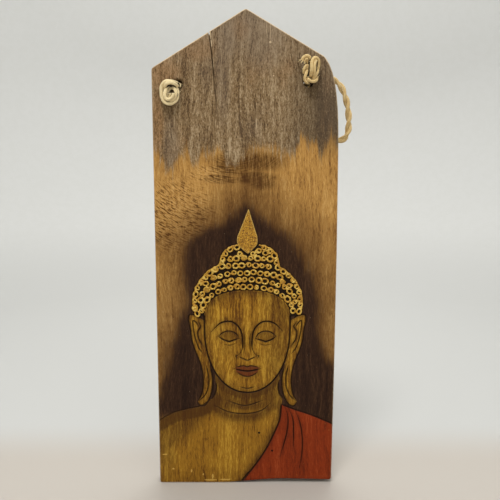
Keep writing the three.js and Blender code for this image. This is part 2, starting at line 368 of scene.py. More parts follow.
def hand_over(piece: Piece, material: bpy.types.Material, slot: str, *nodes: str) -> None:
    """Dresses a finished piece and ties it to the frame.

    Args:
        piece: The finished piece.
        material: Its finish.
        slot: The record's material slot that it belongs to; it is not used.
        nodes: The solids that it stands for.
    """
    piece.data.materials.clear()
    piece.data.materials.append(material)
    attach(piece, "root")
    if nodes:
        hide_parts(*nodes)
    log.info("%s: %d faces", piece.name, len(piece.data.polygons))


class Signal:
    """One number of a shader, on which Python's arithmetic adds Math nodes."""

    def __init__(self, paint: "Paint", socket: Socket) -> None:
        """Keeps the material that is being made and the socket that gives the number."""
        self.paint = paint
        self.socket = socket

    def math(self, operation: str, *values: object, clamp: bool = False) -> "Signal":
        """Adds one Math node on these values and returns its result."""
        settings = {"operation": operation, "use_clamp": clamp}
        return self.paint.signal("ShaderNodeMath", settings, dict(enumerate(values)))

    def __add__(self, other: object) -> "Signal":
        """Adds."""
        return self.math("ADD", self, other)

    __radd__ = __add__

    def __sub__(self, other: object) -> "Signal":
        """Subtracts."""
        return self.math("SUBTRACT", self, other)

    def __rsub__(self, other: object) -> "Signal":
        """Subtracts from a number."""
        return self.math("SUBTRACT", other, self)

    def __mul__(self, other: object) -> "Signal":
        """Multiplies."""
        return self.math("MULTIPLY", self, other)

    def __truediv__(self, other: object) -> "Signal":
        """Divides."""
        return self.math("DIVIDE", self, other)

    def power(self, exponent: float) -> "Signal":
        """Raises to a power."""
        return self.math("POWER", self, exponent)

    def most(self, other: object) -> "Signal":
        """Gives the larger of the two."""
        return self.math("MAXIMUM", self, other)

    def clamped(self) -> "Signal":
        """Holds the number between 0 and 1."""
        return self.math("ADD", self, 0.0, clamp=True)

    def ease(self, low: float, high: float) -> "Signal":
        """Eases from 0 at low to 1 at high, or the other way round where low is above high.

        Args:
            low: The number that gives 0.
            high: The number that gives 1.

        Returns:
            The eased number.
        """
        if low > high:
            return 1 - self.ease(high, low)
        settings = {"interpolation_type": "SMOOTHSTEP"}
        inputs = {"Value": self, "From Min": low, "From Max": high}
        return self.paint.signal("ShaderNodeMapRange", settings, inputs)


class Paint:
    """A material while it is being mixed."""

    def __init__(self, name: str) -> None:
        """Starts an empty material of that name with its shader and output.

        Args:
            name: The material's name.
        """
        self.material = bpy.data.materials.new(name)
        self.material.use_nodes = True
        self.tree = self.material.node_tree
        self.tree.nodes.clear()
        self.shader = self.tree.nodes.new("ShaderNodeBsdfPrincipled")
        output = self.tree.nodes.new("ShaderNodeOutputMaterial")
        self.tree.links.new(self.shader.outputs["BSDF"], output.inputs["Surface"])

    def node(self, kind: str, settings: dict[str, object], inputs: dict[object, object]) -> bpy.types.Node:
        """Adds one node.

        Args:
            kind: The node's type.
            settings: Its own settings, set first.
            inputs: Its sockets' values or links, by name or number.

        Returns:
            The node.
        """
        made = self.tree.nodes.new(kind)
        for name, value in settings.items():
            setattr(made, name, value)
        for key, value in inputs.items():
            self.feed(made.inputs[key], value)
        return made

    def feed(self, socket: Socket, value: object) -> None:
        """Links a signal or a socket into a socket, or sets its value.

        Args:
            socket: The socket to feed.
            value: A signal, a socket or a plain value.
        """
        if isinstance(value, Signal):
            value = value.socket
        if isinstance(value, Socket):
            self.tree.links.new(value, socket)
        else:
            socket.default_value = value

    def signal(self, kind: str, settings: dict[str, object], inputs: dict[object, object]) -> Signal:
        """Adds a node and returns its first number."""
        return Signal(self, self.node(kind, settings, inputs).outputs[0])

    def place(self) -> tuple[Socket, Signal, Signal, Signal]:
        """Gives the place on the piece, whole and as x, y and z in millimetres.

        Returns:
            The whole as a vector, then its three parts.
        """
        whole = self.node("ShaderNodeTexCoord", {}, {}).outputs["Object"]
        scaled = self.node("ShaderNodeVectorMath", {"operation": "SCALE"}, {0: whole, "Scale": 1 / MM})
        parts = self.node("ShaderNodeSeparateXYZ", {}, {0: scaled.outputs[0]}).outputs
        return scaled.outputs[0], Signal(self, parts[0]), Signal(self, parts[1]), Signal(self, parts[2])

    def field(self, name: str) -> Signal:
        """Reads a number that the mesh carries at its corners."""
        made = self.node("ShaderNodeAttribute", {"attribute_name": name}, {})
        return Signal(self, made.outputs["Fac"])

    def noise(self, place: object, size: Point, detail: float = 3.0, rough: float = 0.55) -> Signal:
        """Adds noise over a place.

        Args:
            place: The place in millimetres.
            size: How long one bump is along x, y and z, in millimetres.
            detail: How many finer layers it has.
            rough: How strong the finer layers are.

        Returns:
            A number round 0.5.
        """
        scale = tuple(1 / length for length in size)
        turned = self.node("ShaderNodeMapping", {}, {"Vector": place, "Scale": scale}).outputs[0]
        inputs = {"Vector": turned, "Scale": 1.0, "Detail": detail, "Roughness": rough}
        return self.signal("ShaderNodeTexNoise", {}, inputs)

    def mix(self, factor: object, first: object, second: object) -> Socket:
        """Mixes two colours.

        Args:
            factor: The share of the second colour.
            first: The colour below, as a socket or as red, green and blue of 0 to 255.
            second: The colour above, likewise.

        Returns:
            The mixed colour.
        """
        below, above = (srgb(part) if isinstance(part, tuple) else part for part in (first, second))
        return self.node("ShaderNodeMix", {"data_type": "RGBA"}, {0: factor, 6: below, 7: above}).outputs[2]

    def coats(self, base: object, *coats: tuple[object, object]) -> Socket:
        """Lays coats over a base colour, from the lowest up, each given as its factor and its colour."""
        for factor, colour in coats:
            base = self.mix(factor, base, colour)
        return base

    def finish(
        self, colour: object, roughness: object, height: object, depth: float, metallic: object = 0.0
    ) -> bpy.types.Material:
        """Feeds the shader.

        Args:
            colour: Base colour.
            roughness: Roughness.
            height: What the bumps follow, from 0 to 1.
            depth: How deep the bumps are, in metres.
            metallic: How metallic it is.

        Returns:
            The finished material.
        """
        self.feed(self.shader.inputs["Base Color"], colour)
        self.feed(self.shader.inputs["Roughness"], roughness)
        self.feed(self.shader.inputs["Metallic"], metallic)
        bump = self.node("ShaderNodeBump", {}, {"Height": height, "Distance": depth, "Strength": 1.0})
        self.feed(self.shader.inputs["Normal"], bump.outputs[0])
        return self.material


class Tool(Enum):
    """The two gouges: how wide and deep each cuts, in millimetres."""

    FINE = (1.8, 1.0)
    BOLD = (2.3, 1.4)


@dataclass(frozen=True)
class Stroke:
    """One carved line of the drawing, which thins towards its ends over its run-out."""

    points: Line
    tool: Tool = Tool.FINE
    tone: float = 0.9
    run_out: float = 7.0

    def depths(self, places: np.ndarray) -> tuple[np.ndarray, np.ndarray]:
        """Gives how deep and how dark the line is at each place.

        Args:
            places: Places on the drawing.

        Returns:
            The depth in millimetres, and the darkness from 0 to 1.
        """
        width, deepest = self.tool.value
        line = smooth_line(self.points, 1.5)
        depth, dark = np.zeros(len(places)), np.zeros(len(places))
        near = round_about(places, line, 2 * width)
        away, along, length = distance_along(places[near], line)
        ends = np.minimum(along, length - along) / self.run_out
        strength = 0.35 + 0.65 * smoothstep(0, 1, ends)
        half = width / 2 * strength
        depth[near] = deepest * strength * np.clip(1 - (away / half) ** 2, 0, 1)
        dark[near] = self.tone * (0.55 + 0.45 * strength) * (1 - smoothstep(0.7, 1.3, away / half))
        return depth, dark


@dataclass(frozen=True)
class Drawing:
    """The figure as drawn on the plank, by x from its centre line and height.

    The neck and the ears are lines of the right side, measured from the figure's axis. What runs off
    the board ends at off_board: x on either side and a height below the lower end.
    """

    axis: float = 2.5
    off_board: tuple[float, float] = (125.0, -5.0)
    chin: float = 126.0
    hairline: float = 266.0
    face_width: float = 114.0
    temple: float = 233.0
    hairline_rise: float = 36.0
    head_cap: tuple[float, ...] = (0.5, 148.0, 250.0, 60.0, 2.0)
    topknot: tuple[float, ...] = (2.8, 81.0, 296.0, 33.0, 2.6)
    flame_tip: float = 373.0
    flame_widest: float = 334.0
    flame_foot: float = 315.0
    flame_width: float = 27.0
    neck: Line = ((43, 143), (41.5, 134), (43.5, 124), (47.5, 117))
    bare_shoulder: Line = ((-47, 116), (-60, 107.5), (-82, 102), (-99, 97), (-121, 84.3))
    robe_shoulder: Line = ((48.5, 109), (64.5, 102.5), (88, 94.5), (122.5, 79.5))
    robe_edge: Line = ((48.5, 109), (46.5, 88), (41, 73), (30.5, 50), (16.5, 27), (-9, -6.2))
    folds: tuple[Line, ...] = (
        ((53.5, 106), (57.5, 93), (57, 73), (52.5, 53.5), (47, 34)),
        ((58, 105), (64.5, 88), (65.5, 66.5), (65, 43.5)),
        ((67.5, 101), (74.5, 81.5), (77.5, 60), (77, 37), (74, 18.5)),
    )
    creases: tuple[Line, ...] = (
        ((-26, 115), (-1, 107.5), (24, 115)),
        ((-41.5, 107.5), (-22.5, 98.5), (0.5, 96), (22.5, 101), (34.5, 111.5)),
    )
    ear_rim: Line = (
        (60, 227), (68, 232), (76.5, 233), (78, 226), (75.5, 213), (74, 199), (70, 185), (65, 172),
        (61.5, 161), (59.5, 148), (59.5, 135), (61.5, 124), (67, 113),
    )
    ear_helix: Line = ((64, 215), (68.5, 223), (72, 225), (71.5, 212), (68, 196), (64, 186), (59, 180))
    ear_hollow: Line = ((65, 223), (62, 217), (66, 210), (65, 201), (59, 190))
    ear_slit: Line = ((55, 164), (52, 146), (53, 132), (58, 121), (65, 114.5))
    ear_lobe: Line = ((50, 162), (47, 148), (47, 133), (50.5, 119), (57, 108.5), (63, 107), (67, 113))
    ground: Line = (
        (-125, 95), (-111, 129), (-104, 171), (-90, 212), (-79, 253), (-77, 300), (-74, 325),
        (-55, 340), (-24, 353), (0, 380), (10, 372), (32, 352), (56, 332), (75, 305), (88, 275),
        (97, 245), (102, 200), (106, 175), (122, 160), (125, 75),
    )
    weather_line: Line = (
        (-118, 452), (-101, 425), (-94, 422), (-81, 450), (-74, 449), (-66, 429), (-55, 447),
        (-43, 440), (-35, 456), (-24, 434), (-15, 432), (0, 443), (18, 454), (42, 449), (51, 441),
        (66, 447), (70, 463), (75, 465), (79, 456), (91, 456), (98, 441), (103, 447), (107, 464),
        (110, 480), (113, 462), (119, 452),
    )

    def thirds(self) -> dict[str, float]:
        """Draws a face in equal thirds from hairline to chin.

        Returns:
            The heights of its features, by their names.
        """
        third = (self.hairline - self.chin) / 3
        return {
            "brow": self.hairline - third,
            "eye": self.hairline - third * 4 / 3,
            "nose": self.hairline - third * 2,
            "mouth": self.hairline - third * 7 / 3,
            "chin": self.chin,
        }

    def feature(self, *points: tuple[float, str, float]) -> Line:
        """Places points given as eye widths from the axis, a named height and millimetres above it."""
        at, eye = self.thirds(), self.face_width / 5
        return [(across * eye, at[level] + up) for across, level, up in points]

    def arch(
        self, half_width: float, middle: float, rise: float, turns: np.ndarray, fullness: float = 2.3,
        aside: float = 0.0,
    ) -> np.ndarray:
        """Gives points of a rounded arch over or under the figure's axis.

        Args:
            half_width: Half the arch's width.
            middle: The height of its ends.
            rise: How far its top is above them, or below where it is negative.
            turns: Angles from the right end, 0, to the left end, pi.
            fullness: How square its shoulders are.
            aside: How far to the right of the axis it stands.

        Returns:
            The points, one a row.
        """
        across, up = (
            np.sign(part) * np.abs(part) ** (2 / fullness) for part in (np.cos(turns), np.sin(turns))
        )
        return np.column_stack([self.axis + aside + half_width * across, middle + rise * up])

    def hair_edge(self) -> np.ndarray:
        """Gives the hairline from the right temple to the left one."""
        middle = self.hairline - self.hairline_rise
        turns = np.linspace(0, math.pi, 41)
        return self.arch(self.face_width / 2, middle, self.hairline_rise, turns)

    def jaw(self) -> np.ndarray:
        """Draws the face's edge.

        Returns:
            A line from the right temple round the chin to the left one.
        """
        middle = self.thirds()["eye"] + 10
        curve = self.arch(self.face_width / 2, middle, self.chin - middle, np.linspace(0, math.pi, 33), 2.1)
        half = self.face_width / 2
        return np.vstack([(self.axis + half, self.temple), curve, (self.axis - half, self.temple)])

    def both_sides(self, points: Line) -> list[Line]:
        """Places a line, given as distance from the axis and height, on both sides."""
        return [[(self.axis + side * x, height) for x, height in points] for side in (1, -1)]

    def across(self, points: Line) -> Line:
        """Completes a line from its right half, which starts on the axis."""
        left = [(self.axis - x, height) for x, height in reversed(points[1:])]
        return left + [(self.axis + x, height) for x, height in points]

    def brows(self) -> list[Line]:
        """Draws the brows.

        Returns:
            A line for each side, from the brow's outer end down the side of the nose.
        """
        return self.both_sides(self.feature(
            (2.1, "brow", -9), (1.5, "brow", 3), (0.9, "brow", 4), (0.42, "brow", -6), (0.27, "eye", -8),
            (0.32, "nose", 12), (0.52, "nose", 5),
        ))

    def lids(self) -> tuple[list[Line], list[Line]]:
        """Draws the downcast eyes.

        Returns:
            The creases above the lids, and the lash lines below them.
        """
        inner, outer = (0.46, "eye", -3), (1.7, "eye", 0)
        crease = self.feature(inner, (0.66, "eye", 3.5), (1.02, "eye", 7), (1.38, "eye", 5.5), outer)
        lash = self.feature(inner, (0.74, "eye", -5), (1.06, "eye", -7), (1.38, "eye", -5), outer)
        return self.both_sides(crease), self.both_sides(lash)

    def lips(self) -> dict[str, Line]:
        """Draws the lips.

        Returns:
            The line between them, and the upper and lower lip's edges, by their names.
        """
        halves = {
            "between": self.feature((0, "mouth", -1.5), (0.35, "mouth", -0.5), (0.8, "mouth", 2)),
            "upper": self.feature((0, "mouth", 4.5), (0.2, "mouth", 6), (0.7, "mouth", 3.5)),
            "lower": self.feature((0, "mouth", -9), (0.3, "mouth", -7.5), (0.62, "mouth", -3)),
        }
        return {name: self.across(half) for name, half in halves.items()}

    def face_strokes(self) -> list[Stroke]:
        """Draws the face.

        Returns:
            Its carved lines.
        """
        crease, lash = self.lids()
        lips = self.lips()
        wing = self.feature((0.52, "nose", 5), (0.66, "nose", 4), (0.62, "nose", 0.5))
        iris = self.feature((0.9, "eye", -6.6), (1.07, "eye", -7.6), (1.24, "eye", -6.6))
        under = self.feature((0.6, "eye", -9), (1.0, "eye", -12.5), (1.4, "eye", -11))
        bridge = self.feature((0.2, "brow", -8), (0.15, "eye", -6), (0.19, "nose", 10), (0.24, "nose", 5))
        nose = self.feature((0, "nose", -2), (0.22, "nose", 0), (0.5, "nose", 3))
        dimple = self.feature((0, "chin", 5.5), (0.45, "chin", 8))
        cuts = [
            ([self.jaw()], Tool.BOLD, 1.0, 2.0),
            (self.brows(), Tool.BOLD, 1.0, 20.0),
            (crease, Tool.FINE, 0.95, 6.0),
            (lash, Tool.BOLD, 1.0, 7.0),
            (self.both_sides(iris), Tool.BOLD, 1.0, 2.5),
            (self.both_sides(under), Tool.FINE, 0.35, 8.0),
            (self.both_sides(bridge), Tool.FINE, 0.6, 10.0),
            (self.both_sides(wing), Tool.FINE, 0.9, 4.0),
            ([self.across(nose)], Tool.FINE, 0.9, 4.0),
            ([lips["between"]], Tool.BOLD, 1.0, 8.0),
            ([lips["upper"], lips["lower"]], Tool.FINE, 0.8, 5.0),
            ([self.across(dimple)], Tool.FINE, 0.7, 5.0),
        ]
        return [Stroke(line, tool, tone, run_out) for lines, tool, tone, run_out in cuts for line in lines]

    def strokes(self) -> list[Stroke]:
        """Draws the whole figure.

        Returns:
            Every carved line.
        """
        ears = [self.ear_rim, self.ear_lobe, self.ear_helix, self.ear_hollow, self.ear_slit]
        return [
            *self.face_strokes(),
            *(Stroke(line) for ear in ears for line in self.both_sides(ear)),
            *(Stroke(line) for line in self.both_sides(self.neck)),
            *(Stroke(line, tone=0.75, run_out=14.0) for line in self.creases),
            Stroke(self.bare_shoulder, tone=0.6, run_out=4.0),
            Stroke(self.robe_shoulder, tone=0.95, run_out=4.0),
            Stroke(self.robe_edge, Tool.BOLD, 0.95, 2.0),
            *(Stroke(line, tone=0.9, run_out=25.0) for line in self.folds),
        ]

    def regions(self) -> dict[str, list[np.ndarray]]:
        """Draws the painted areas.

        Returns:
            Their closed outlines, by their names.
        """
        lips, (wide, low) = self.lips(), self.off_board
        edge = smooth_line(self.robe_edge, 3)
        right_neck, left_neck = (smooth_line(line, 3) for line in self.both_sides(self.neck))
        torso = np.vstack([
            left_neck[:1] + (0, 15), left_neck, smooth_line(self.bare_shoulder, 3),
            [(-wide, 80), (-wide, low)], edge[::-1], right_neck[::-1], right_neck[:1] + (0, 15),
        ])
        ears = []
        for side, rim, lobe in zip((1, -1), self.both_sides(self.ear_rim), self.both_sides(self.ear_lobe)):
            inner = [(self.axis + side * 54, 190), (self.axis + side * 55, 222)]
            ears.append(np.vstack([smooth_line(rim, 3), smooth_line(lobe, 3)[::-1], inner]))
        return {
            "face": [np.vstack([self.hair_edge(), self.jaw()[::-1]])],
            "torso": [torso],
            "robe": [np.vstack([smooth_line(self.robe_shoulder, 3), [(wide, 75), (wide, low)], edge[::-1]])],
            "ears": ears,
            "lips": [self.between(lips["upper"], lips["lower"])],
            "eyes": [self.between(above, below) for above, below in zip(*self.lids())],
            "ground": [smooth_line(self.ground, 6)],
        }

    def between(self, above: Line, below: Line) -> np.ndarray:
        """Gives the closed outline between two lines that run the same way."""
        return np.vstack([smooth_line(above, 1), smooth_line(below, 1)[::-1]])

    def flame_side(self) -> np.ndarray:
        """Draws the flame's right side.

        Returns:
            Its half width and height, one row for each height, from tip to foot.
        """
        tip, widest, foot, half = self.flame_tip, self.flame_widest, self.flame_foot, self.flame_width / 2
        return np.asarray([
            (0.3, tip), (2.6, tip - 6.5), (5.2, tip - 14), (8.1, tip - 22), (10.6, tip - 29),
            (half - 0.7, widest + 4), (half, widest - 2), (half - 1.2, widest - 7.5),
            (half - 4.8, foot + 7.5), (half - 9.2, foot + 3), (0.4, foot),
        ])

    def flame_half(self, height: float) -> float:
        """Gives the flame's half width at one height, and less than nought beyond its ends.

        Args:
            height: The height on the drawing.

        Returns:
            The half width.
        """
        side = self.flame_side()[::-1]
        if height < side[0, 1]:
            return (height - side[0, 1]) / 2
        return float(np.interp(height, side[:, 1], side[:, 0]))

    def in_oval(self, places: np.ndarray, oval: Sequence[float], inset: float = 0.0) -> np.ndarray:
        """Gives about how far inside one of the hair's ovals each place is.

        Args:
            places: Places on the drawing.
            oval: Its middle from the axis, width, middle height, rise and fullness.
            inset: How much smaller it is all round.

        Returns:
            The distance in millimetres, negative outside.
        """
        aside, width, middle, rise, fullness = oval
        half, up = width / 2 - inset, rise - inset
        across = np.abs(places[:, 0] - self.axis - aside) / half
        above = np.abs(places[:, 1] - middle) / up
        return (1 - (across**fullness + above**fullness) ** (1 / fullness)) * min(half, up)

    def carve(self, places: np.ndarray) -> tuple[np.ndarray, np.ndarray]:
        """Gives how deep and how dark the carved lines are at each place.

        Args:
            places: Places on the drawing.

        Returns:
            The depth in millimetres, and the darkness from 0 to 1.
        """
        depth, dark = np.zeros(len(places)), np.zeros(len(places))
        for stroke in self.strokes():
            deep, toned = stroke.depths(places)
            depth, dark = np.maximum(depth, deep), np.maximum(dark, toned)
        return depth, dark

    def paint(self, places: np.ndarray) -> dict[str, np.ndarray]:
        """Works out what the painter put where.

        Args:
            places: Places on the drawing.

        Returns:
            By name: distances inside the skin, robe, hair, lips, eyes, ground and weathering, in
            millimetres, and the strength of the brown shading, from 0 to 1.
        """
        inside = {
            name: np.max([inside_distance(places, outline) for outline in outlines], axis=0)
            for name, outlines in self.regions().items()
        }
        face, torso, ears = (inside.pop(name) for name in ("face", "torso", "ears"))
        hair = np.maximum(self.in_oval(places, self.head_cap), self.in_oval(places, self.topknot))
        hair = np.minimum(hair, places[:, 1] - self.temple + 2)
        line = np.asarray(self.weather_line, float)
        return {
            "skin": np.max([face, ears, torso], axis=0),
            "hair": np.minimum(hair, -face),
            "weather": places[:, 1] - np.interp(places[:, 0], line[:, 0], line[:, 1]),
            "shade": self.shading(places, face, torso, ears),
            **inside,
        }

    def shading(
        self, places: np.ndarray, face: np.ndarray, torso: np.ndarray, ears: np.ndarray
    ) -> np.ndarray:
        """Gives the brown shading rubbed on the gold, strongest along its edges.

        Args:
            places: Places on the drawing.
            face: How far inside the face each place is.
            torso: How far inside the neck and the bare shoulder it is.
            ears: How far inside an ear it is.

        Returns:
            The strength, of 0 to about 1.
        """

        def glow(away: np.ndarray, reach: float) -> np.ndarray:
            """Fades from 1 to nought over about twice a reach."""
            return np.exp(-((away / reach) ** 2))

        def near(line: Line, reach: float) -> np.ndarray:
            """Fades away from a line."""
            return glow(distance_along(places, smooth_line(line, 4))[0], reach)

        def round_spot(spot: tuple[float, float], reach: float) -> np.ndarray:
            """Fades away from a spot."""
            return glow(np.hypot(*(places - spot).T), reach)

        x, height = places.T
        at, eye, lips = self.thirds(), self.face_width / 5, self.lips()
        on_face = [
            0.5 * glow(face, 9),
            0.8 * near(self.hair_edge(), 8),
            0.6 * smoothstep(self.axis + 8, self.axis + 46, x),
            0.4 * near(lips["lower"], 6),
            0.35 * near(lips["upper"], 4),
        ]
        for brow, lid, side in zip(self.brows(), self.lids()[0], (1, -1)):
            on_face += [
                0.5 * near(brow[:5], 6),
                0.45 * near(lid, 7),
                0.3 * round_spot((self.axis + side * 1.25 * eye, at["eye"] - 14), 13),
                0.45 * round_spot((self.axis + side * 0.6 * eye, at["nose"] + 4), 6),
            ]
        shoulder = distance_along(places, smooth_line(self.bare_shoulder, 4))[0]
        slant = height - 92 - 0.94 * (x + 42)
        on_torso = [
            1.2 * glow(face, 15),
            1.15 * smoothstep(22, 10, shoulder),
            0.85 * near(self.robe_edge, 8),
            0.66 * smoothstep(-12, 24, slant) * smoothstep(-36, -60, x),
            0.5 * smoothstep(-84, -108, x),
            0.3 * smoothstep(26, 0, height),
            0.78 * smoothstep(92, 106, height),
            *(0.8 * near(side, 10) for side in self.both_sides(self.neck)),
        ]
        for crease, reach in zip(self.creases, (6, 9)):
            on_torso.append(0.85 * near(np.asarray(crease, float) - (0, 0.5 * reach), reach))
        hollows = self.both_sides(self.ear_hollow)
        on_ears = [0.3 + 0.5 * glow(ears, 2.5), *(0.75 * near(hollow, 4) for hollow in hollows)]
        on_robe = [0.5 * near(self.robe_edge, 5), *(0.4 * near(fold, 3) for fold in self.folds)]
        inside = [face > 0, ears > 0, torso > 0]
        shades = [np.max(shades, axis=0) for shades in (on_face, on_ears, on_torso, on_robe)]
        return np.select(inside, shades[:3], shades[3])


@dataclass(frozen=True)
class Shades:
    """One colour of the plank as its darkest, usual and lightest streaks."""

    dark: Colour
    usual: Colour
    light: Colour

    def along(self, paint: Paint, streak: Signal) -> Socket:
        """Mixes the three by a streak of about 0 to 1."""
        return paint.coats(
            self.dark, (streak.ease(0.1, 0.5), self.usual), (streak.ease(0.5, 0.95), self.light)
        )


@dataclass
class Grain:
    """What the plank's colours follow: where a place is, and the patterns of the wood."""

    paint: Paint
    x: Signal
    y: Signal
    height: Signal
    streak: Signal
    dusty: Signal
    fleck: Signal
    cloud: Signal

    def spots(self, ovals: Line) -> Signal:
        """Makes soft oval spots, each given as its middle and its two half widths.

        Args:
            ovals: The spots.

        Returns:
            A number of 1 in their middles that fades to 0.
        """
        total = None
        for middle, level, wide, tall in ovals:
            across, up = (self.x - middle) / wide, (self.height - level) / tall
            spot = (across * across + up * up).ease(1.9, 0.0)
            total = spot if total is None else total.most(spot)
        return total

    def ragged(self, name: str, wander: float, soft: tuple[float, float]) -> Signal:
        """Gives where a painted area is, with a flecked edge that wanders by some millimetres."""
        return (self.paint.field(name) + (self.fleck - 0.5) * wander).ease(*soft)


@dataclass(frozen=True)
class PlankFinish:
    """Weathered and burnt teak, with the painted figure rubbed into its grain.

    The spots, such as rusty, are ovals: x, height and the two half widths.
    """

    old: Shades = Shades((82, 62, 42), (131, 106, 74), (172, 150, 118))
    fresh: Shades = Shades((120, 82, 41), (180, 134, 71), (212, 168, 101))
    ground: Shades = Shades((38, 24, 18), (51, 33, 23), (72, 49, 33))
    gold: Shades = Shades((97, 60, 19), (152, 107, 31), (196, 150, 52))
    robe: Shades = Shades((104, 38, 15), (134, 50, 18), (156, 68, 32))
    bare: Shades = Shades((74, 54, 36), (122, 96, 66), (158, 130, 94))
    silver: Colour = (106, 94, 84)
    rust: Colour = (152, 102, 52)
    bleached: Colour = (142, 124, 102)
    smoked: Colour = (72, 60, 46)
    pale_fleck: Colour = (182, 160, 126)
    dark_fleck: Colour = (62, 44, 28)
    stain: Colour = (128, 88, 44)
    pore: Colour = (88, 56, 28)
    faded: Colour = (112, 88, 56)
    ripple: Colour = (84, 50, 22)
    ripple_gap: Colour = (218, 174, 108)
    scorch: Colour = (65, 37, 13)
    halo: Colour = (84, 54, 27)
    hair: Colour = (34, 24, 15)
    shade: Colour = (66, 38, 16)
    robe_shade: Colour = (66, 24, 12)
    lip: Colour = (98, 44, 24)
    line: Colour = (32, 20, 12)
    cream: Colour = (214, 190, 154)
    flaked: Colour = (216, 172, 84)
    # Painted shade: a near-black spot stands in for the shaded inside of each nail hole.
    nail_hole_shade: Colour = (20, 12, 7)
    silvered: Line = (
        (-28, 545, 9, 60), (-22, 590, 12, 30), (22, 590, 26, 40), (108, 500, 18, 60), (-95, 450, 10, 40),
    )
    rusty: Line = (
        (-104, 545, 20, 22), (-62, 575, 24, 16), (-112, 480, 8, 40), (104, 470, 8, 40), (-6, 600, 12, 14),
    )
    rippled: Line = ((-88, 364, 46, 46), (-48, 418, 22, 10))
    ripple_middle: tuple[float, float] = (-13.5, 500)
    scorched: Line = (
        (10, 414, 28, 8), (16, 434, 34, 13), (-16, 430, 26, 16), (-30, 412, 22, 6), (22, 406, 16, 8),
    )
    chipped: Line = (
        (-110, 38, 3.4, 1), (-99, 17, 1.8, 1.2), (-74, 14, 1.2, 2.4), (-58, 9, 1, 1.6), (-48, 1, 8, 1.4),
        (-28, 1.5, 8, 1.2), (-45, 6, 1.6, 3.4), (31.6, 582, 1.3, 1.4), (35.7, 541, 1.1, 1.1),
        (-45, 599, 1, 6), (-43.8, 590, 1, 6), (-42.6, 581, 0.9, 6),
    )
    scratched: Line = ((31.5, 596, 0.5, 12), (14.3, 481, 1.1, 8), (-20, 452, 1.5, 12), (27, 600, 0.5, 8))
    nailed: Line = ((18.5, 69, 1.5, 1.5), (36.4, 43.3, 1.4, 1.4))
    painted_from: float = -20.1
    bare_from: float = -19.5

    def material(self) -> bpy.types.Material:
        """Mixes the material of the whole plank.

        Returns:
            The material.
        """
        paint = Paint("plank")
        paint.shader.inputs["Specular IOR Level"].default_value = 0.1
        place, x, y, z = paint.place()
        height = z + HANG_HEIGHT
        sway = paint.noise(place, (70, 70, 150), 2) - 0.5
        drift = paint.node("ShaderNodeCombineXYZ", {}, {0: x + sway * 22, 1: y, 2: z}).outputs[0]
        fine = paint.noise(drift, (0.9, 0.9, 6), 3, 0.7) - 0.5
        middling = paint.noise(drift, (2.6, 2.6, 30), 3, 0.6) - 0.5
        wide = paint.noise(drift, (13, 13, 220), 2, 0.5) - 0.5
        grit = paint.noise(drift, (1.5, 1.5, 2.8), 3, 0.7) - 0.5
        fleck = paint.noise(drift, (1.25, 1.25, 3.2), 2, 0.6)
        cloud = paint.noise(place, (38, 38, 60), 3, 0.5)
        streak = fine * 1.9 + middling * 1.4 + wide * 0.8 + 0.5
        dusty = grit * 1.5 + fine * 1.9 + middling * 1.4 + wide * 0.9 + 0.5
        grain = Grain(paint, x, y, height, streak, dusty, fleck, cloud)

        ragged = paint.field("weather") + middling * 55 + fine * 12
        soft = paint.field("ground") + (cloud - 0.5) * 26 + middling * 30 + fine * 14
        wood = paint.coats(
            self.oiled(grain),
            (ragged.ease(-10, 9), self.weathered(grain)),
            (soft.ease(-66, 4) * (1.02 - streak * 0.45), self.halo),
            (soft.ease(-10, 7) * 0.98, self.ground.along(paint, streak)),
        )
        wood, painted = self.figure(grain, wood)
        wood = paint.mix(paint.field("cut") * 0.93, wood, self.line)
        wood = self.edges(grain, wood)
        rub = fine * 0.5 + middling * 0.35 + (fleck - 0.5) * 0.3 + 0.5
        front = y.ease(self.bare_from, self.painted_from)
        roughness = 0.86 - painted * front * 0.26 + (rub - 0.5) * 0.3
        return paint.finish(wood, roughness, rub, 0.0006)

    def weathered(self, grain: Grain) -> Socket:
        """Colours the silvered upper part.

        Args:
            grain: What the colours follow.

        Returns:
            The colour.
        """
        paint, x, height, fleck, cloud = grain.paint, grain.x, grain.height, grain.fleck, grain.cloud
        rust = grain.spots(self.rusty) * 0.55 + cloud.ease(0.56, 0.74) * 0.35
        grey = grain.spots(self.silvered) * 0.6 + cloud.ease(0.46, 0.3) * 0.35
        return paint.coats(
            self.old.along(paint, grain.dusty),
            ((rust * grain.dusty * 1.6).clamped() * 0.6, self.rust),
            (grey.clamped() * 0.5, self.silver),
            ((height.ease(520, 610) * grain.dusty * 0.8).clamped(), self.bleached),
            (x.ease(34, 96) * height.ease(600, 500) * 0.62, self.smoked),
            (fleck.ease(0.58, 0.74) * 0.3, self.pale_fleck),
            (fleck.ease(0.44, 0.28) * 0.55, self.dark_fleck),
        )

